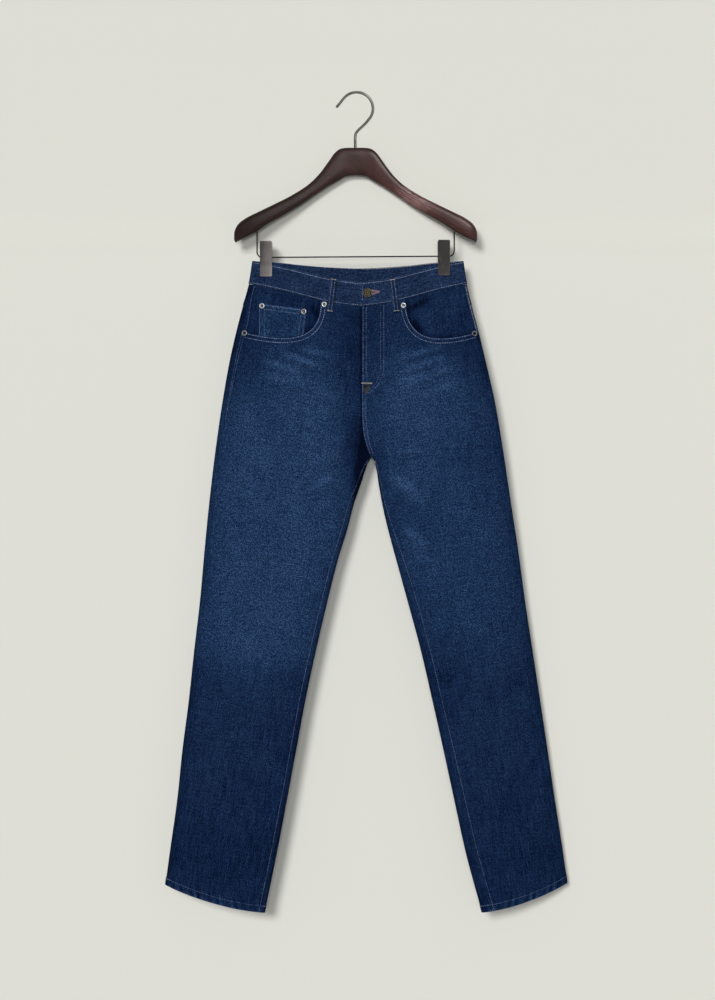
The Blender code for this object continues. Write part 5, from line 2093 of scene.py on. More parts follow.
@dataclass
class Sewing:
    """Threads of one colour, gathered and made as one mesh."""

    name: str
    thread: Material
    gauge: Gauge = Gauge()
    parts: list = field(default_factory=list)

    def threads(self, places: Array, normals: Array, width: float) -> None:
        """Adds threads, each through four places.

        Args:
            places: four places for each thread, mm.
            normals: the cloth's normals there.
            width: the thread's width.
        """
        if not len(places):
            return
        tangent = np.gradient(places, axis=1)
        tangent /= np.linalg.norm(tangent, axis=-1, keepdims=True) + 1e-12
        normals = normals / (np.linalg.norm(normals, axis=-1, keepdims=True) + 1e-12)
        across = np.cross(tangent, normals)
        lift = np.array([-0.25, 1.0, 1.0, -0.25])[None, :, None] * self.gauge.rise
        radius = np.array([0.35, 1.0, 1.0, 0.35])[None, :, None, None] * width / 2
        angles = np.arange(5) * 2 * math.pi / 5
        ring = (
            np.cos(angles)[None, None, :, None] * across[:, :, None]
            + np.sin(angles)[None, None, :, None] * normals[:, :, None]
        )
        self.parts.append((places + normals * lift)[:, :, None] + ring * radius)

    def run(self, line: Line, width: float = 0.0) -> None:
        """Sews a row of stitches along a line; a width of 0 is the gauge's own.

        Args:
            line: the line.
            width: the thread's width, mm; 0 is the gauge's own.
        """
        gauge = self.gauge
        length = line.length()
        count = int((length + gauge.gap) // (gauge.length + gauge.gap))
        if count < 1:
            return
        pitch = (length + gauge.gap) / count
        start = np.arange(count)[:, None] * pitch
        at = start + np.array([0.0, 0.22, 0.78, 1.0])[None] * (pitch - gauge.gap)
        self.threads(*line.at(at), width or gauge.width)

    def tack(self, line: Line, wide: float, count: int) -> None:
        """Sews a bar tack: close threads across a short line.

        Args:
            line: the line.
            wide: the threads' length across it, mm.
            count: how many threads.
        """
        middle, normal = line.at(np.linspace(0, line.length(), count))
        tangent = np.gradient(middle, axis=0)
        tangent /= np.linalg.norm(tangent, axis=-1, keepdims=True) + 1e-12
        across = np.cross(tangent, normal) + 0.25 * tangent
        spread = np.array([-0.5, -0.2, 0.2, 0.5])[None, :, None] * wide
        places = middle[:, None] + across[:, None] * spread + 0.15 * normal[:, None]
        self.threads(places, np.repeat(normal[:, None], 4, 1), self.gauge.width * 0.9)

    def build(self) -> Object:
        """Makes the mesh of all the threads.

        Returns:
            The object.
        """
        rings = np.concatenate(self.parts)
        shift = np.arange(len(rings))[:, None, None] * 20
        sides, caps = np.array(tube_faces(4, 5)[:-2]), np.array([range(5), range(19, 14, -1)])
        faces = [(part[None] + shift).reshape(-1, part.shape[1]).tolist() for part in (sides, caps)]
        made = mesh_piece(self.name, rings.reshape(-1, 3), sum(faces, []), [self.thread], {}, 80.0)
        place_piece(made)
        log.info("%s: %d threads", made.name, len(rings))
        return made


class Cloths:
    """All the cloth pieces, built, and the surface that they show together."""

    def __init__(self, finishes: Finishes) -> None:
        """Cuts and builds every piece.

        Args:
            finishes: every material.
        """
        self.pieces: dict[str, ClothPiece] = {}
        self.finishes = finishes
        for side in Side:
            self.build_side(side)
        self.build_band()
        self.build_loops()
        self.tree = self.whole_surface()

    def make(self, piece: ClothPiece) -> None:
        """Builds one piece in its finish.

        Args:
            piece: the piece.
        """
        worn_inside = isinstance(piece, (Waistband, BeltLoop))
        face = self.finishes.greyed if worn_inside else self.finishes.denim
        piece.build(face, face if worn_inside else self.finishes.reverse)
        self.pieces[piece.name] = piece

    def build_side(self, side: Side) -> None:
        """Builds the pieces that each side has.

        Args:
            side: the wearer's side.
        """
        mouth = Edge(worn=0.16, ridge=0.12, seed=2 + side)
        lapped = Edge(lap=0.45, pucker=0.3, seed=3 + side)
        edge = Edge(pucker=0.22, reach=7.0, worn=0.2, ridge=0.12, seed=4 + side)
        seam = Edge(pucker=0.28, worn=0.05, seed=5 + side)
        quiet = Edge(pucker=0.12, worn=0.04, ridge=0.08, seed=7 + side)
        hem = Edge(pucker=0.4, reach=14.0, worn=0.34, ridge=0.55, seed=9 + side)
        for cut, name, flat, first, last in (
            (FrontPanel, "front", (0.275, 1.05), mouth, hem),
            (BackPanel, "back", (0.335, 1.0), seam, hem),
            (Yoke, "yoke", (0.215, 0.075), quiet, lapped),
        ):
            borders = dict(zip(Border, (first, last, quiet, seam)))
            self.make(cut(f"{name}_{side.word}", side, flat, borders=borders))
        lining = {"slot": "denim_dark", "borders": {Border.TOP: quiet, Border.START: quiet}}
        under = -self.pieces[f"front_{side.word}"].thickness - CUT.seam_gap
        self.make(Facing(f"facing_{side.word}", side, (0.145, 0.1), stand=under, **lining))
        borders = dict.fromkeys(Border, edge)
        name = f"back_pocket_{side.word}"
        self.make(BackPocket(name, side, (0.146, 0.16), stand=2.4, borders=borders))
        if side == RIGHT:
            lining["borders"] = {Border.TOP: edge, Border.START: quiet, Border.END: edge}
            self.make(CoinPocket("coin_pocket", side, (0.082, 0.07), wear=0.05, **lining))

    def build_band(self) -> None:
        """Builds the waistband."""
        top = Edge(pucker=0.12, reach=5.0, worn=0.22, ridge=0.1, seed=6)
        foot = Edge(pucker=0.2, reach=6.0, worn=0.16, ridge=0.14, seed=8)
        end = Edge(pucker=0.05, worn=0.2)
        borders = dict(zip(Border, (top, foot, end, end)))
        made = {"thickness": 2.0, "stand": 0.8, "wear": 0.02, "borders": borders}
        self.make(Waistband("waistband", RIGHT, (0.76, 0.042), **made))

    def build_loops(self) -> None:
        """Builds the five belt loops."""
        places = {
            "front_right": (RIGHT, FRONT, (-37.5, -305.5), (-44.0, -362.5)),
            "front_left": (LEFT, FRONT, (58.6, -306.0), (65.8, -362.0)),
            "back_right": (RIGHT, BACK, (-90.0, -282.8), (-92.0, -336.0)),
            "back_left": (LEFT, BACK, (94.0, -282.8), (96.0, -336.0)),
            "centre_back": (RIGHT, BACK, (-4.5, -287.6), (-4.5, -341.0)),
        }
        roll = Edge(lap=0.25, lap_width=2.6, pucker=0.1, reach=3.0, worn=0.26, ridge=0.1)
        for name, (side, sheet, top, foot) in places.items():
            loop = BeltLoop(
                f"belt_loop_{name}", side, (0.01, 0.06), thickness=2.0, sheet=sheet,
                top=top, foot=foot, borders={Border.START: roll, Border.END: roll},
            )
            self.make(loop)

    def whole_surface(self) -> BVHTree:
        """All the faces of all pieces, to find the outermost at a place.

        Returns:
            A tree of the faces, to cast rays at.
        """
        points, faces, start = [], [], 0
        for piece in self.pieces.values():
            rows, columns = piece.outer.shape[:2]
            points.append(piece.outer.reshape(-1, 3))
            faces.append(quads_of(rows, columns) + start)
            start += rows * columns
        return BVHTree.FromPolygons(np.concatenate(points).tolist(), np.concatenate(faces).tolist())

    def drawn(self, route: list, sheet: Sheet = FRONT, step: float = 2.0) -> Line:
        """A line drawn on the outermost cloth.

        Args:
            route: corners as (x, z), mm.
            sheet: the side that it is drawn from.
            step: the spacing of its points.

        Returns:
            The line.
        """
        route = np.array(route, float)
        along = arc_lengths(route, 0)
        at = np.linspace(0, along[-1], max(2, int(along[-1] / step) + 1))
        points, normals = [], []
        for x, z in zip(np.interp(at, along, route[:, 0]), np.interp(at, along, route[:, 1])):
            towards = Vector((0, -sheet, 0))
            hit, normal, _, _ = self.tree.ray_cast(Vector((x, sheet * 200.0, z)), towards)
            if hit is None:
                continue
            points.append(hit)
            normals.append(normal if normal.y * sheet > 0 else -normal)
        return Line(np.array(points), np.array(normals))


def curve(start: tuple, bend: tuple, end: tuple, count: int = 12) -> list:
    """Points on a quadratic curve.

    Args:
        start: its first point.
        bend: the point that it bends towards.
        end: its last point.
        count: how many points.

    Returns:
        The points.
    """
    t = np.linspace(0, 1, count)[:, None]
    a, b, c = (np.array(p, float) for p in (start, bend, end))
    return ((1 - t) ** 2 * a + 2 * t * (1 - t) * b + t**2 * c).tolist()


# How far the two rows of a felled seam lie from its edge, mm.
FELLED = (1.8, 8.0)


class Seams:
    """Everything that is sewn on the garment."""

    def __init__(self, cloths: Cloths, finishes: Finishes) -> None:
        """Sews all the rows and makes them.

        Args:
            cloths: the pieces to sew.
            finishes: every material.
        """
        self.cloths = cloths
        self.drawn = cloths.drawn
        self.face = Sewing("stitching_front", finishes.blue_thread)
        self.behind = Sewing("stitching_back", finishes.blue_thread)
        self.band = Sewing("stitching_waistband", finishes.band_thread)
        self.worn = Sewing("stitching_worn", finishes.worn_thread, Gauge(width=0.7))
        self.charcoal = Sewing("tacking_olive", finishes.charcoal_thread)
        self.plum = Sewing("stitching_plum", finishes.plum_thread, Gauge(width=0.8))
        self.pale = Sewing("stitching_pale", finishes.pale_thread)
        worked = Gauge(width=0.7, rise=0.12)
        self.rose = Sewing("buttonhole_stitching", finishes.rose_thread, worked)
        self.sew_band()
        for side in Side:
            self.sew_front(side)
            self.sew_back(side)
        self.sew_coin_pocket()
        self.sew_fly()
        self.sew_loops()
        self.sew_buttonhole()
        sewn = (self.face, self.behind, self.band, self.worn, self.charcoal, self.plum, self.pale)
        for sewing in (*sewn, self.rose):
            sewing.build()

    def sew_band(self) -> None:
        """Two long rows round the band and one across each end."""
        band = self.cloths.pieces["waistband"]
        self.band.run(band.line(Border.TOP, 3.2, 4.0, 740.0), 0.82)
        self.face.run(band.line(Border.FOOT, 2.2, 4.0, 740.0), 0.8)
        self.face.run(band.line(Border.END, 2.4, 3.0, 32.0), 0.8)
        turned = band.line(Border.TOP, 1.2, 390.0, 700.0)
        under = turned.points - turned.normals * (band.thickness + 0.1)
        self.pale.run(Line(under, -turned.normals))

    def sew_front(self, side: Side) -> None:
        """The pocket mouth, inseam and hem of a front, and the right one's outseam.

        Args:
            side: the wearer's side.
        """
        panel = self.cloths.pieces[f"front_{side.word}"]
        for inset, first in ((1.6, 0.06), (8.0, 0.09)):
            route = CUT.past_mouth(side, np.linspace(first, 0.975, 60), inset)
            self.face.run(self.drawn(route))
        self.worn.run(panel.line(Border.FOOT, HEM_HEIGHT - 1.8), 0.45)
        self.worn.run(panel.line(Border.END, 1.8, panel.notch_along() + 3.0), 0.55)
        if side == RIGHT:
            self.worn.run(panel.line(Border.START, 2.0, 4.0, 150.0), 0.45)
            route = [(-168.5, -318.4), (-173.4, -336.0), (-179.7, -380.0), (-186.1, -401.5)]
            self.worn.run(self.drawn(route + [(-198.0, -450.0), (-216.0, -538.0)]), 0.5)

    def sew_coin_pocket(self) -> None:
        """Two rows along each open edge of the coin pocket and a short upright one."""
        coin = self.cloths.pieces["coin_pocket"]
        for sewing, border, inset, low, high, width in (
            (self.face, Border.TOP, 2.2, 8.0, 72.0, 0.7),
            (self.face, Border.TOP, 8.6, 8.0, 71.0, 0.5),
            (self.face, Border.START, 1.6, 6.0, math.inf, 0.42),
            (self.worn, Border.START, 9.4, 8.0, math.inf, 0.42),
            (self.worn, Border.END, 2.2, 8.0, math.inf, 0.6),
            (self.worn, Border.END, 8.6, 9.0, math.inf, 0.55),
        ):
            sewing.run(coin.line(border, inset, low, high), width)
        self.charcoal.run(self.drawn([(-87.0, -335.0), (-87.0, -353.0)]), 0.9)

    def sew_fly(self) -> None:
        """The fly's J in two rows, its edge, its tacks and the seam below it."""
        for inset, width in ((0.0, 0.7), (5.3, 0.42)):
            top, knee = (44.7 - inset, -350.0), (44.7 - inset, -452.0)
            toe, bend = (14.5, -498.0 + inset * 0.9), (43.0 - inset, -484.0 + inset * 0.5)
            self.worn.run(self.drawn([top, knee] + curve(knee, bend, toe)[1:]), width)
        for x, high, low, width in (
            (10.7, -354.0, -476.0, 0.7),
            (15.8, -354.0, -470.0, 0.7),
            (9.8, -482.0, -499.0, 0.9),
        ):
            self.worn.run(self.drawn([(x, high), (x, low)]), width)
        self.pale.tack(self.drawn([(8.0, -478.6), (25.0, -478.9)], step=1.0), 2.6, 20)
        for step in range(9):
            z = -481.8 - 1.6 * step
            line = self.drawn([(11.0, z), (24.5 - 1.1 * step, z)], step=1.0)
            self.charcoal.tack(line, 1.7, 17 - step)
        self.plum.tack(self.drawn([(14.0, -493.0), (20.6, -494.5)], step=1.0), 2.6, 7)
        for inset in (1.4, 6.6):
            for sewing, high, low in ((self.worn, -500.0, -580.0), (self.plum, -581.0, -594.0)):
                z = np.linspace(high, low, 24)
                sewing.run(self.drawn(np.stack([SKIN.centre_x(z, FRONT) + inset, z], axis=1)))

    def sew_back(self, side: Side) -> None:
        """The yoke seam, pocket and hem of a back, and the left one's centre seam.

        Args:
            side: the wearer's side.
        """
        yoke, panel, pocket = (
            self.cloths.pieces[f"{piece}_{side.word}"] for piece in ("yoke", "back", "back_pocket")
        )
        for inset in FELLED:
            self.behind.run(yoke.line(Border.FOOT, inset, 12.0))
            for border, low in ((Border.START, 14.0), (Border.END, 14.0), (Border.FOOT, 2.0)):
                self.behind.run(pocket.line(border, inset, low))
        self.behind.run(pocket.line(Border.TOP, 13.0, 2.0, 139.0))
        if side == LEFT:
            for inset in FELLED:
                self.behind.run(yoke.line(Border.END, inset, 1.0))
                self.behind.run(panel.line(Border.END, inset, 1.0, panel.notch_along()))
        self.behind.run(panel.line(Border.FOOT, HEM_HEIGHT - 1.8))
        edge = pocket.outer[0, [0, -1]]
        for x, z in edge[:, [0, 2]]:
            x += 1.5 if x < edge[:, 0].mean() else -1.5
            self.behind.tack(self.drawn([(x, z - 2.0), (x, z - 14.0)], BACK, 1.0), 2.2, 14)

    def sew_loops(self) -> None:
        """A row down each edge of the belt loops and a tack at each end."""
        for piece in self.cloths.pieces.values():
            if not isinstance(piece, BeltLoop):
                continue
            for border in (Border.START, Border.END):
                self.face.run(piece.line(border, 2.4, 2.0, 56.0), 0.65)
            top, foot = np.array(piece.top), np.array(piece.foot)
            across = np.array([1.0, -(foot - top)[0] / (foot - top)[1]]) * piece.width * 0.42
            for share in (0.045, 0.955):
                middle = top * (1 - share) + foot * share
                route = [middle - across, middle + across]
                self.pale.tack(self.drawn(route, piece.sheet, 1.0), 1.4, 12)

    def sew_buttonhole(self) -> None:
        """A worked buttonhole in the band's left end: close threads from both sides of a slit,
        long beside the button and short at the far end."""
        lines = []
        for share in np.linspace(0, 1, 34):
            x, height = 24.6 + 14.0 * share, 4.3 * (1 - share) ** 0.75 + 0.5
            z = -329.6 + 0.12 * (x - 25.0)
            for way in (-1, 1):
                route = [(x, z + 0.2 * way), (x, z + height * way)]
                line = self.drawn(route, FRONT, height / 4)
                if len(line.points) >= 4:
                    lines.append([line.points[:4], line.normals[:4]])
        self.rose.threads(*np.array(lines).swapaxes(0, 1), 0.6)


# ---------------------------------------------------------------- metal trim
@dataclass
class Turned:
    """A round metal piece standing on the cloth.

    profile is (radius share, height mm, patina) from the foot to the middle of the top.
    """

    name: str
    side: Side
    x: float
    z: float
    out: float
    radius: float
    profile: list[tuple[float, float, float]]
    slot: str
    segments: int = 40

    def build(self, metal: Material) -> Object:
        """Makes the piece.

        Args:
            metal: its material.

        Returns:
            The object.
        """
        foot = SKIN.points(self.side, self.x, self.z, FRONT, self.out)
        axis = SKIN.points(self.side, self.x, self.z, FRONT, self.out + 1.0) - foot
        across = np.cross(axis, (0, 0, 1))
        across /= np.linalg.norm(across)
        other = np.cross(axis, across)
        angles = np.arange(self.segments) * 2 * math.pi / self.segments
        ring = np.outer(np.cos(angles), across) + np.outer(np.sin(angles), other)
        points = [foot + axis * h + ring * max(r, 0.002) * self.radius for r, h, _ in self.profile]
        patina = np.repeat([p for _, _, p in self.profile], self.segments)
        faces = tube_faces(len(points), self.segments)
        points = np.concatenate(points)
        made = mesh_piece(self.name + "_turned", points, faces, [metal], {"patina": patina}, 35.0)
        outward(made)
        place_piece(made, (self.name,))
        return made


def outward(made: Object) -> None:
    """Turns a closed mesh's faces round when they face in.

    Args:
        made: the object.
    """
    mesh = made.data
    mesh.calc_loop_triangles()
    points = np.empty(len(mesh.vertices) * 3)
    mesh.vertices.foreach_get("co", points)
    corners = np.empty(len(mesh.loop_triangles) * 3, np.int32)
    mesh.loop_triangles.foreach_get("vertices", corners)
    a, b, c = points.reshape(-1, 3)[corners.reshape(-1, 3)].transpose(1, 0, 2)
    if np.einsum("ij,ij->", a, np.cross(b, c)) < 0:
        mesh.flip_normals()


@dataclass
class Trim:
    """The rivets at the pockets' corners and the shank button."""

    rivet_radius: float = 4.5
    button_radius: float = 7.8
    rivets: dict = field(
        default_factory=lambda: {
            "rivet_mouth_inner_right": (RIGHT, -53.5, -349.0, 0.0),
            "rivet_mouth_outer_right": (RIGHT, -184.8, -395.4, 0.45),
            "rivet_coin_outer": (RIGHT, -156.2, -350.6, 0.0),
            "rivet_coin_inner": (RIGHT, -87.0, -360.6, 0.1),
            "rivet_mouth_inner_left": (LEFT, 76.8, -350.4, 0.0),
            "rivet_mouth_outer_left": (LEFT, 194.2, -396.2, 0.7),
        }
    )

    def build(self, finishes: Finishes) -> None:
        """Makes the seven pieces.

        Args:
            finishes: every material.
        """
        cap = [
            (0.0, 0.0, 0.4), (1.0, 0.0, 0.5), (1.02, 0.25, 0.2), (0.98, 0.55, 0.05), (0.9, 0.85, 0.0),
            (0.78, 1.02, 0.0), (0.66, 1.0, 0.05), (0.56, 0.82, 0.35), (0.48, 0.55, 0.9),
            (0.34, 0.5, 1.0), (0.26, 0.62, 0.9), (0.16, 0.85, 0.5), (0.07, 0.92, 0.4), (0.0, 0.92, 0.4),
        ]
        for name, (side, x, z, dull) in self.rivets.items():
            worn = [(r, h, p + dull) for r, h, p in cap]
            Turned(name, side, x, z, 0.25, self.rivet_radius, worn, "rivet_metal").build(finishes.rivet)
        disc = [
            (0.0, -0.6, 0.8), (0.62, -0.6, 0.8), (0.66, 0.2, 0.8), (0.86, 0.5, 0.6), (0.99, 1.0, 0.3),
            (1.0, 1.5, 0.1), (0.97, 2.1, 0.05), (0.9, 2.55, 0.0), (0.82, 2.72, 0.05), (0.76, 2.6, 0.5),
            (0.72, 2.35, 0.95), (0.66, 2.3, 0.8), (0.5, 2.45, 0.35), (0.38, 2.5, 0.3), (0.33, 2.35, 0.9),
            (0.27, 2.3, 0.95), (0.22, 2.55, 0.2), (0.12, 2.75, 0.1), (0.0, 2.8, 0.1),
        ]
        out = 0.8 + 2.3 + CUT.seam_gap
        button = Turned("button", LEFT, 17.8, -330.5, out, self.button_radius, disc, "button_metal", 56)
        button.build(finishes.button)
        log.info("trim: %d rivets and a button", len(self.rivets))


# ---------------------------------------------------------------- the hanger
class Slice(NamedTuple):
    """A section of the wooden arm: its upper and lower edge and its half thickness."""

    top_x: float
    top_z: float
    low_x: float
    low_z: float
    half: float


ARM = table(
    Slice,
    (0, -89.5, 0, -134.8, 6.5), (16, -89.5, 10.5, -135.6, 6.5), (26, -91.5, 18, -137.4, 6.7),
    (34, -97.4, 24.6, -141.3, 7), (47, -115.2, 38, -149.2, 7.5), (60.5, -133.2, 50.3, -156.8, 8),
    (79, -151, 68, -168.8, 8.8), (107, -168.9, 91.8, -185.4, 10), (133, -182.1, 116, -200, 11),
    (160, -195.2, 141, -214, 12), (181, -205.8, 164.5, -229, 12.5), (194, -216, 182.5, -238.5, 11.5),
    (200, -228, 193, -243, 9), (200.6, -238, 197, -245, 5.5),
)


def spline(points: list, step: float) -> Array:
    """A smooth curve through points, resampled at even steps.

    Args:
        points: the points, with any number of values each; the first two set the spacing.
        step: the spacing wanted.

    Returns:
        The curve's points.
    """
    points = np.array(points, float)
    chord = np.linalg.norm(np.diff(points[:, :2], axis=0), axis=1)
    at = np.concatenate([[0], np.cumsum(np.sqrt(chord))])
    drawn = through(at, points, np.linspace(0, at[-1], 1200))
    along = arc_lengths(drawn[:, :2], 0)
    places = np.linspace(0, along[-1], max(2, int(along[-1] / step) + 1))
    return np.stack([np.interp(places, along, drawn[:, i]) for i in range(points.shape[1])], axis=1)


def arc(centre: tuple, radius: float, start: float, end: float, count: int) -> list:
    """Points on an arc, by angles in degrees."""
    angles = np.radians(np.linspace(start, end, count))
    return [(centre[0] + radius * math.cos(a), centre[1] + radius * math.sin(a)) for a in angles]


@dataclass
class Wire:
    """A round wire along a path, with rounded ends."""

    name: str
    path: Array
    radius: float
    slot: str
    nodes: tuple[str, ...]
    around: int = 18

    def build(self, metal: Material) -> Object:
        """Makes the wire.

        Args:
            metal: its material.

        Returns:
            The object.
        """
        path = np.asarray(self.path, float)
        if path.shape[1] == 2:
            path = np.stack([path[:, 0], np.zeros(len(path)), path[:, 1]], axis=1)
        tangent = np.gradient(path, axis=0)
        tangent = unit(tangent)
        side = np.cross(tangent, (0.0, 1.0, 0.0))
        weak = np.linalg.norm(side, axis=1) < 0.2
        side[weak] = np.cross(tangent[weak], (0.0, 0.0, 1.0))
        side = unit(side)
        up = np.cross(tangent, side)
        angles = np.arange(self.around) * 2 * math.pi / self.around
        turn = angles[None, :, None]
        circle = np.cos(turn) * side[:, None] + np.sin(turn) * up[:, None]
        rings = list(path[:, None] + circle * self.radius)
        for angle in np.radians([30, 60, 84]):
            push, shrink = 0.7 * math.sin(angle) * self.radius, math.cos(angle) * self.radius
            rings.insert(0, path[0] - tangent[0] * push + circle[0] * shrink)
            rings.append(path[-1] + tangent[-1] * push + circle[-1] * shrink)
        points = np.concatenate(rings)
        faces = tube_faces(len(rings), self.around)
        patina = 0.35 + 0.25 * drift(points[:, 0] + points[:, 1], points[:, 2], 9.0, 2)
        made = mesh_piece(self.name, points, faces, [metal], {"patina": patina}, 60.0)
        outward(made)
        place_piece(made, self.nodes)
        return made


@dataclass
class Hanger:
    """The arched wooden hanger with its hook, bar and two spring clips."""

    centre_x: float = -1.5
    bar_z: float = -269.6
    bar_radius: float = 1.1
    drop_x: tuple[float, float] = (-164.2, 161.2)
    drop_top_z: float = -224.0
    drop_bend: float = 9.0
    hook_wire: float = 2.3
    hook_radius: float = 27.0
    clip_x: tuple[float, float] = (-149.4, 144.0)
    clip_width: float = 19.8
    clip_top_z: float = -243.5
    clip_foot_z: float = -301.5
    clip_plate: float = 1.2
    jaw_y: float = 4.9
    bar_y: float = 7.2
    grip_y: float = 9.6
    spring_radius: float = 4.6
    spring_half: float = 7.0
    around: int = 44
    # The power that rounds the arm's section: 1 is an ellipse, and less is squarer.
    roundness: float = 0.56

    def build(self, finishes: Finishes) -> None:
        """Makes all the hanger's pieces.

        Args:
            finishes: every material.
        """
        self.build_wood(finishes.wood)
        self.build_hook(finishes.hook)
        self.build_bar(finishes.bar)
        for side, x in zip(Side, self.clip_x):
            for sheet in Sheet:
                self.build_plate(side, x, sheet, finishes.clip)
            self.build_spring(side, x, finishes.hook)
        log.info("hanger: wood, hook, bar and clips")

    def build_wood(self, wood: Material) -> None:
        """A loft of rounded sections from one tip to the other.

        Args:
            wood: its material.
        """
        fine = spline([tuple(s) for s in ARM], 2.6)
        mirrored = fine[:0:-1] * np.array([-1, 1, -1, 1, 1])
        slices = np.concatenate([mirrored, fine])
        top = np.stack([slices[:, 0] + self.centre_x, 0 * slices[:, 0], slices[:, 1]], axis=1)
        low = np.stack([slices[:, 2] + self.centre_x, 0 * slices[:, 0], slices[:, 3]], axis=1)
        middle, arm, half = (top + low) / 2, (top - low) / 2, slices[:, 4]
        first, last = middle[0] - middle[2], middle[-1] - middle[-3]
        first, last = first / np.linalg.norm(first), last / np.linalg.norm(last)
        ends = (middle[0], arm[0], half[0]), (middle[-1], arm[-1], half[-1])
        for angle in np.radians([25, 48, 68, 84]):
            push, shrink = 2.4 * math.sin(angle), math.cos(angle)
            middle = np.concatenate([[ends[0][0] + first * push], middle, [ends[1][0] + last * push]])
            arm = np.concatenate([[ends[0][1] * shrink], arm, [ends[1][1] * shrink]])
            half = np.concatenate([[ends[0][2] * shrink], half, [ends[1][2] * shrink]])
        angles = (np.arange(self.around) + 0.5) * 2 * math.pi / self.around
        round_z, round_y = (
            np.sign(part) * np.abs(part) ** self.roundness for part in (np.cos(angles), np.sin(angles))
        )
        rings = middle[:, None] + round_z[None, :, None] * arm[:, None]
        rings[..., 1] = round_y[None] * half[:, None]
        count = len(rings)
        along = arc_lengths(middle[:, None], 0)[:, 0]
        grain = np.stack(
            [
                np.repeat(along[:, None], self.around, 1),
                round_z[None] * np.linalg.norm(arm, axis=1)[:, None] + 0 * along[:, None],
                rings[..., 1] * 0.5,
            ],
            axis=-1,
        )
        faces = tube_faces(count, self.around)
        across_x = middle[:, 0] - self.centre_x
        # The stain's own depth with painted sheen: darker stain at the left tip; the lighter neck, the
        # broad bright patch on the right arm and part of the rise towards the right are painted
        # highlight where the light's sheen falls, the rest of that rise being uneven stain; the arm's
        # top and lower edges are darker.
        stain = 0.3 * ease((across_x + 70.0) / 200.0) - 0.1 - 0.16 * ease((-80.0 - across_x) / 60.0)
        stain = stain + 0.12 * np.exp(-((across_x / 46.0) ** 2))
        stain = stain + 0.42 * np.exp(-(((across_x - 92.0) / 30.0) ** 2))
        stain = stain[:, None] - 0.4 * np.abs(round_z[None]) ** 14
        neck = np.exp(-((across_x / 44.0) ** 2))
        grain[..., 1] += (neck * (0.75 * across_x + 0.006 * across_x**2))[:, None]
        attributes = {"grain": grain.reshape(-1, 3) * MM, "stain": stain.ravel()}
        made = mesh_piece("hanger_wood_body", rings.reshape(-1, 3), faces, [wood], attributes, 60.0)
        outward(made)
        place_piece(made, ("hanger_wood",))

    def build_hook(self, metal: Material) -> None:
        """A shank out of the wood, an offset bend and a round over the rail.

        Args:
            metal: its material.
        """
        centre = (0.0, self.hook_wire - self.hook_radius)
        path = [(-2.2, -97.0), (-2.2, -86.0), (-2.2, -74.5), (-2.0, -69.6), (-0.9, -65.3)]
        path += [(2.2, -61.1), (8.5, -55.0), (14.5, -49.3)]
        path += arc(centre, self.hook_radius, -44, 138, 15)
        last, tip = np.array(path[-1]), np.array([-32.4, -21.8])
        path += [tuple(last * 0.55 + tip * 0.45), tuple(tip)]
        fine = spline(path, 1.3)
        wire = Wire("hanger_hook_wire", fine, self.hook_wire, "hook_metal", ("hanger_hook",), 24)
        wire.build(metal).visible_shadow = False

    def lean(self, x: float) -> float:
        """How far the bar and the clips on it hang higher at x than level ones."""
        return 0.4 + 0.9 * x / 146.0

    def build_bar(self, metal: Material) -> None:
        """The bar that the clips sit on, bent up at both ends into the wood.

        Args:
            metal: its material.
        """
        first, last = self.drop_x
        bend = self.drop_bend
        low, high = self.bar_z + self.lean(first), self.bar_z + self.lean(last)
        path = [(first, self.drop_top_z), (first, low + bend + 8)]
        path += arc((first + bend, low + bend), bend, 180, 270, 9)
        path += [(0.0, (low + high) / 2)]
        path += arc((last - bend, high + bend), bend, -90, 0, 9)
        path += [(last, high + bend + 8), (last, self.drop_top_z)]
        path = np.array(path)
        Wire("hanger_bar_wire", path, self.bar_radius, "clip_metal", ("hanger_bar",), 14).build(metal)

    def build_plate(self, side: Side, x: float, sheet: Sheet, metal: Material) -> None:
        """One jaw of a clip: a pressed plate with its sides turned in beside the spring.

        Args:
            side: the wearer's side.
            x: the clip's middle, mm.
            sheet: which jaw: the front or the back.
            metal: its material.
        """
        name = f"clip_{sheet.word}_{side.word}"
        knots = [
            (self.clip_foot_z, self.jaw_y), (self.clip_foot_z + 18, self.jaw_y),
            (self.bar_z - 9, self.bar_y - 1.2), (self.bar_z, self.bar_y),
            (self.bar_z + 9, self.bar_y + 0.6), (self.clip_top_z, self.grip_y),
        ]
        z = np.linspace(self.clip_foot_z, self.clip_top_z, 48)
        y = np.interp(z, [k[0] for k in knots], [k[1] for k in knots])
        for _ in range(14):
            y[1:-1] = (y[:-2] + 2 * y[1:-1] + y[2:]) / 4
        end = np.minimum(z - self.clip_foot_z, self.clip_top_z - z)
        corner = 1.0
        narrow = corner - np.sqrt(np.maximum(corner**2 - np.maximum(corner - end, 0) ** 2, 0))
        flange = 2.6 * np.exp(-(((z - self.bar_z) / 11.0) ** 4))
        u = np.array([-1, -0.995, -0.97, -0.92, -0.8, -0.5, 0, 0.5, 0.8, 0.92, 0.97, 0.995, 1])
        half = self.clip_width / 2 - narrow
        turn_in = np.interp(np.abs(u), [0.8, 0.92, 0.97, 0.995, 1.0], [0, 0.06, 0.22, 0.62, 1.0])
        px = x + u[None] * half[:, None]
        fall = turn_in[None] * (flange[:, None] + 0.25)
        plate_y = sheet * (y[:, None] + self.clip_plate - fall)
        outer = np.stack([px, plate_y, z[:, None] + self.lean(x) + 0 * px], -1)
        inner = outer.copy()
        inner[..., 0] = x + (px - x) * (1 - 0.9 / half[:, None] * (np.abs(u) > 0.9))
        inner[..., 1] = sheet * (y[:, None] + 0.3 - fall * 0.96)
        faces = shell_faces(*outer.shape[:2]).tolist()
        points = np.concatenate([outer.reshape(-1, 3), inner.reshape(-1, 3)])
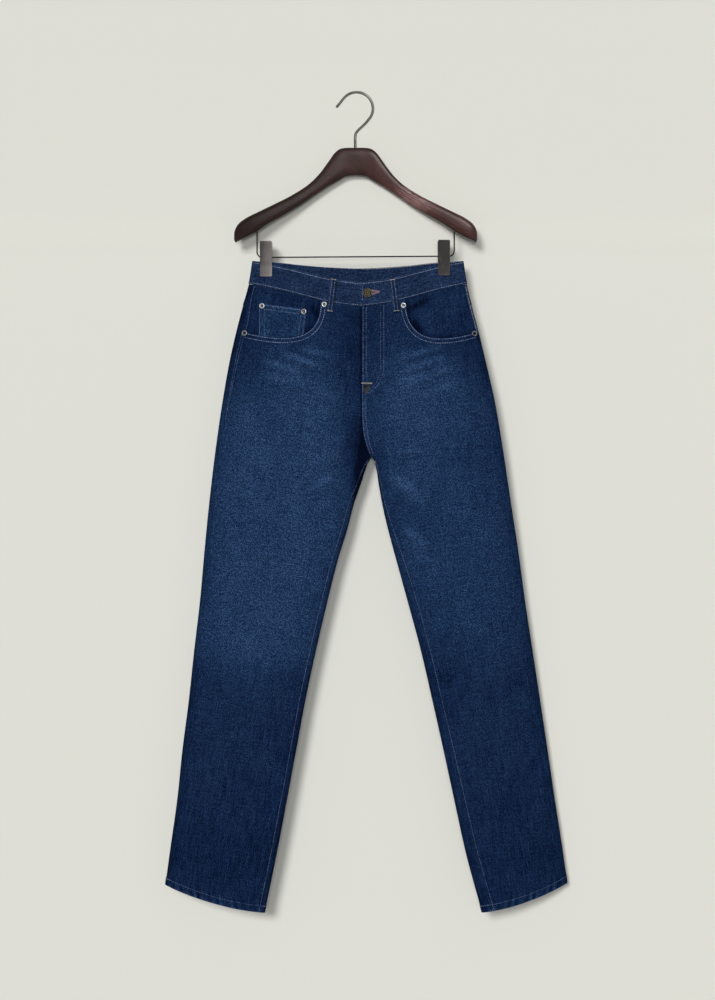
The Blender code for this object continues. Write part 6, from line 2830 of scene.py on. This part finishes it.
        worn = np.minimum(end[:, None] / 3.0, (1 - np.abs(u))[None] * half[:, None] / 1.5)
        height = (z - self.clip_foot_z) / (self.clip_top_z - self.clip_foot_z)
        # Painted shade: the wearer's right clip's plates darken towards the top and the left, and the
        # left clip's plates darken all over, for how the light falls on the two clips. Their rubbed
        # edges stay brighter.
        painted_plate_shade = 0.3 + 0.2 * height[:, None] - 0.25 * u[None] if side == RIGHT else 0.9
        patina = np.tile((0.15 * np.clip(worn, 0, 1) + painted_plate_shade).ravel(), 2)
        made = mesh_piece(name + "_plate", points, faces, [metal], {"patina": patina}, 40.0)
        outward(made)
        place_piece(made, (name,))

    def build_spring(self, side: Side, x: float, metal: Material) -> None:
        """The clip's coil round the bar, with a leg to each plate.

        Args:
            side: the wearer's side.
            x: the clip's middle, mm.
            metal: its material.
        """
        wire, turns = 0.62, 7
        radius = self.spring_radius - wire
        angles = np.linspace(0, 2 * math.pi * turns, 24 * turns)
        along = np.linspace(-self.spring_half + wire, self.spring_half - wire, len(angles))
        coil = np.stack(
            [x + along, -radius * np.cos(angles), self.bar_z + self.lean(x) + radius * np.sin(angles)],
            axis=1,
        )
        leg = np.linspace(0, 1, 12)[1:, None]
        first = coil[0] + leg * np.array([0.0, -1.2, 13.0])
        last = coil[-1] + leg * np.array([0.0, -1.2, 13.0])
        path = np.concatenate([first[::-1], coil, last])
        name = f"clip_spring_{side.word}"
        Wire(name + "_coil", path, wire, "hook_metal", (name,), 10).build(metal)


# ---------------------------------------------------------------- the studio
@dataclass
class Studio:
    """A plain pale wall and floor, soft light from the upper left, and the camera."""

    wall_y: float = 38.0
    wall_lean: float = 24.0
    lean_high_z: float = -176.0
    lean_low_z: float = -268.0
    floor_z: float = -1950.0
    wide: float = 9000.0
    # The light that a plain wall takes from the key, the fill and the room, and how much
    # less of the key's each unit of its slope takes.
    key_share: float = 0.58
    key_drop: float = 0.31
    fill_share: float = 0.27
    room_light: float = 0.15
    wall_colour: str = "#e2e2d9"
    floor_colour: str = "#c9c8c0"
    eye: tuple[float, float, float] = (1.5, -3896.0, -670.5)
    lens: float = 85.0
    sensor: float = 36.0

    def build(self) -> None:
        """Sets it all up."""
        bpy.context.scene.view_settings.view_transform = "Standard"
        self.build_wall()
        self.build_lights()
        self.build_camera()

    def sheet(self, name: str, rows: list, material: Material, tone: Array) -> Object:
        """Makes a wide sheet of the studio.

        Args:
            name: its name.
            rows: the (y, z) of each of its rows, mm.
            material: its paint.
            tone: how light the paint is at each row.

        Returns:
            The sheet.
        """
        half = self.wide / 2
        points = [(x * MM, y * MM, z * MM) for y, z in rows for x in (-half, half)]
        faces = [[2 * i, 2 * i + 2, 2 * i + 3, 2 * i + 1] for i in range(len(rows) - 1)]
        mesh = bpy.data.meshes.new(name)
        mesh.from_pydata(points, [], faces)
        mesh.materials.append(material)
        mesh.shade_smooth()
        mesh.attributes.new("tone", "FLOAT", "POINT").data.foreach_set("value", np.repeat(tone, 2))
        made = linked(name, mesh)
        return made

    def build_wall(self) -> None:
        """The wall behind, seen only from its front, and the floor. The wall comes nearer
        behind the hanger's neck; its paint evens out what the slope does to the light."""
        z = np.concatenate([[3000.0], np.linspace(-110.0, -264.0, 45), [self.floor_z]])
        share = ease((z - self.lean_low_z) / (self.lean_high_z - self.lean_low_z))
        y = self.wall_y - self.wall_lean * share
        slope = -np.gradient(y, z)
        light = self.key_share * (1 - self.key_drop * slope) + self.fill_share
        shade = light / np.sqrt(1 + slope**2) + self.room_light
        paint = Plaster("plaster_emulsion", self.wall_colour, one_sided=True).make()
        wall = self.sheet("studio_wall", list(zip(y, z)), paint, 1 / shade)
        wall.visible_shadow = False
        half = self.wide / 2
        paint = Plaster("floor_emulsion", self.floor_colour).make()
        ends = [(half, self.floor_z), (-half, self.floor_z)]
        self.sheet("studio_floor", ends, paint, np.ones(2)).visible_diffuse = False

    def sun(self, name: str, way: tuple, strength: float, spread: float, lights: Lit) -> None:
        """Adds a far soft light along a way.

        Args:
            name: its name.
            way: where it shines to.
            strength: its strength, watts per square metre.
            spread: how wide it is in the sky, degrees.
            lights: what it reaches.
        """
        lamp = bpy.data.lights.new(name, "SUN")
        lamp.energy = strength
        lamp.angle = math.radians(spread)
        made = linked(name, lamp)
        made.rotation_euler = Vector(way).to_track_quat("-Z", "Y").to_euler()
        made.visible_diffuse, made.visible_glossy = lights.value

    def build_lights(self) -> None:
        """The key from the upper left, a fill from the front, a soft light from the upper
        right that only glosses, another light for the back and the room's own light."""
        self.sun("key", (0.31, 1.0, -0.31), 1.9, 17.0, Lit.MATT)
        self.sun("fill", (0.0, 1.0, 0.0), 0.81, 12.0, Lit.MATT)
        self.sun("gleam", (-0.25, 1.0, -0.35), 1.0, 22.0, Lit.GLOSS)
        self.sun("rear", (-0.4, -1.0, -0.3), 1.5, 30.0, Lit.BOTH)
        world = bpy.data.worlds.new("room")
        bpy.context.scene.world = world
        world.use_nodes = True
        background = world.node_tree.nodes["Background"]
        fill(background, Color=linear("#ffffff"), Strength=self.room_light)

    def build_camera(self) -> None:
        """The camera, square on to the wall."""
        lens = bpy.data.cameras.new("camera")
        lens.lens = self.lens
        lens.sensor_width = self.sensor
        made = linked("camera", lens)
        made.location = [c * MM for c in self.eye]
        made.rotation_euler = (math.radians(90), 0, 0)
        bpy.context.scene.camera = made


def main() -> None:
    """Builds the model in the order that it would be made."""
    logging.basicConfig(level=logging.INFO, format="%(message)s")
    finishes = Finishes()
    cloths = Cloths(finishes)
    Seams(cloths, finishes)
    Trim().build(finishes)
    Hanger().build(finishes)
    Studio().build()


if __name__ == "__main__":
    main()
